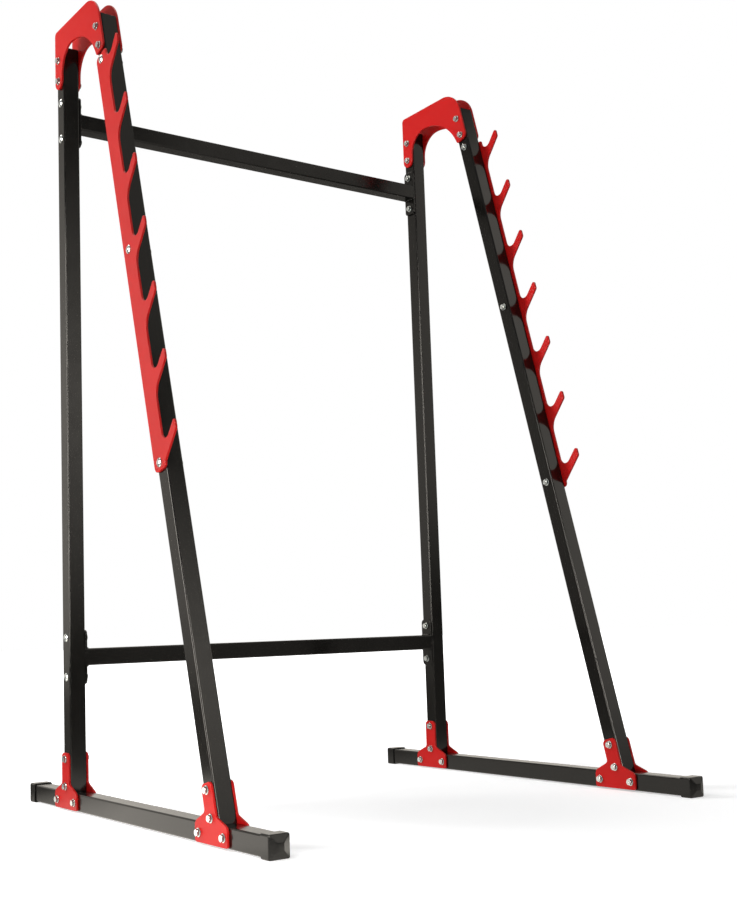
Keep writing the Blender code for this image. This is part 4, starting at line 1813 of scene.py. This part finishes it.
@dataclass(frozen=True)
class Studio:
    """Camera, lights, floor and surroundings."""

    eye: Corner = (-1.8146, -2.5816, 0.4185)
    yaw: float = 0.60569          # from +Y towards +X
    pitch: float = 0.10554        # upwards
    roll: float = -0.03204
    lens: float = 51.152
    shift: Flat = (0.04032, 0.04473)
    sight_range: float = 200.0
    floor_size: float = 60.0
    floor_tones: tuple[Color, Color] = ((0.86, 0.86, 0.86), (0.88, 0.88, 0.88))
    tone_patches: Patches = Patches(0.8, detail=3.0)
    floor_rough: float = 0.9
    floor_glow: float = 0.34      # light of its own that only the camera sees
    # middle of the painted shadow between the feet, and of the fade into the backdrop
    floor_middle: Corner = (0.05, -0.38, 0.0)
    cloud_start: float = 0.15     # how far from its middle the painted shadow between the feet thins
    cloud_end: float = 0.85       # and where it has gone
    cloud_gain: float = 0.26      # camera-only glow that the floor gains on the way out of the painted shadow
    floor_near: float = 1.0       # where it starts to fade into the backdrop
    floor_far: float = 3.5
    ambient: float = 0.28
    room: float = 0.16            # what shiny faces see beyond the panels
    dark_floor: float = 0.17      # what they see of the floor, away from its bright pools
    pools: tuple[Pool, ...] = (Pool((-1.05, -0.1, 0.0), 1.5, 0.5, 0.95),
                               Pool((0.33, 0.0, 0.0), 0.55, 0.5, 0.95),
                               Pool((-0.40, -0.61, 0.0), 2.4, 0.06, 0.13))

    def camera(self) -> None:
        """Places the photograph's camera."""
        sight = Vector((math.sin(self.yaw) * math.cos(self.pitch),
                        math.cos(self.yaw) * math.cos(self.pitch), math.sin(self.pitch)))
        level = Vector((math.cos(self.yaw), -math.sin(self.yaw), 0.0))
        upright = level.cross(sight)
        right = math.cos(self.roll) * level + math.sin(self.roll) * upright
        above = math.cos(self.roll) * upright - math.sin(self.roll) * level
        data = bpy.data.cameras.new("camera")
        data.lens = self.lens
        data.shift_x, data.shift_y = self.shift
        data.clip_end = self.sight_range
        camera = put("camera", data)
        camera.matrix_world = (Matrix.Translation(self.eye)
                               @ Matrix((right, above, -sight)).transposed().to_4x4())
        bpy.context.scene.camera = camera

    def floor(self) -> None:
        """Pale floor that keeps the rack's soft shadow, has a painted shadow between the feet, and
        is white where it is lit.
        """
        material, graph = new_material("pale floor")
        inputs = graph.shader.inputs
        inputs["Roughness"].default_value = self.floor_rough
        inputs["Specular IOR Level"].default_value = 0.0
        inputs["Emission Color"].default_value = WHITE
        place = graph.add("ShaderNodeTexCoord").outputs["Object"]
        color = graph.blend(graph.patches(place, self.tone_patches), *self.floor_tones)
        away = graph.distance(place, self.floor_middle)
        # painted shadow: the camera-only glow is weaker near the middle, so a soft grey lies
        # between the feet
        far = graph.math("ADD",
                         graph.ramp(away, self.cloud_start, self.cloud_end, 0.0, self.cloud_gain),
                         graph.ramp(away, self.floor_near, self.floor_far))
        ray = graph.add("ShaderNodeLightPath").outputs
        glow = graph.math("MULTIPLY", ray["Is Camera Ray"],
                          graph.math("ADD", far, self.floor_glow))
        graph.tree.links.new(color, inputs["Base Color"])
        graph.tree.links.new(glow, inputs["Emission Strength"])
        level = self.dark_floor
        for pool in self.pools:
            level = pool.add_to(graph, place, level)
        mirrored = graph.add("ShaderNodeEmission", {"Color": WARM, "Strength": level}).outputs[0]
        both = graph.add("ShaderNodeMixShader", {0: ray["Is Glossy Ray"],
                                                 1: graph.shader.outputs[0],
                                                 2: mirrored}).outputs[0]
        graph.tree.links.new(both, graph.tree.nodes["Material Output"].inputs["Surface"])
        floor = put("floor", sheet("floor", self.floor_size, self.floor_size))
        floor.data.materials.append(material)

    def surroundings(self) -> None:
        """White round the object for the camera, an even glow and a dim room for its faces."""
        world = bpy.data.worlds.new("studio")
        bpy.context.scene.world = world
        world.use_nodes = True
        graph = NodeGraph(world.node_tree)
        backdrop = world.node_tree.nodes["Background"]
        backdrop.inputs["Color"].default_value = WHITE
        ray = graph.add("ShaderNodeLightPath").outputs
        lit = graph.ramp(ray["Is Glossy Ray"], 0.0, 1.0, self.ambient, self.room)
        strength = graph.math("MAXIMUM", ray["Is Camera Ray"], lit)
        graph.tree.links.new(strength, backdrop.inputs["Strength"])

    def build(self) -> None:
        """Sets up the whole studio."""
        self.camera()
        self.floor()
        self.surroundings()
        for light in LIGHTS:
            light.make()
        bpy.context.scene.view_settings.view_transform = "Standard"


GUSSETS = (
    Gusset(End.REAR, shoulder=(0.0195, 0.0195), neck=0.092, neck_bolts=(0.0775, 0.0132), seed=24),
    Gusset(End.FRONT, shoulder=(0.0155, 0.0215), neck=0.080, neck_bolts=(0.0661, 0.0115),
           seed=22, base_shift=0.004),
)
UPPER_BAR_DROP = 0.188            # upper crossbar's centre line below the rear uprights' tops
LOWER_BAR_RISE = 0.3185           # the lower one's above the top of the feet


def main() -> None:
    logging.basicConfig(level=logging.INFO, format="%(name)s: %(message)s")
    layout = Layout.from_frame()
    shop = Workshop(layout)
    bracket, comb = TopBracket(), HookComb()
    bars = (Crossbar("upper_crossbar", layout.rear_top - UPPER_BAR_DROP),
            Crossbar("lower_crossbar", layout.foot_top + LOWER_BAR_RISE))
    shop.set_drill(axis for part in (bracket, *GUSSETS, *bars, comb)
                   for axis in part.bolts(layout).values())
    for side in Side:
        for part in (Foot(), Uprights(), bracket, *GUSSETS, comb):
            part.build(shop, side)
    for bar in bars:
        bar.build(shop)
    shop.close()
    Studio().build()


if __name__ == "__main__":
    main()
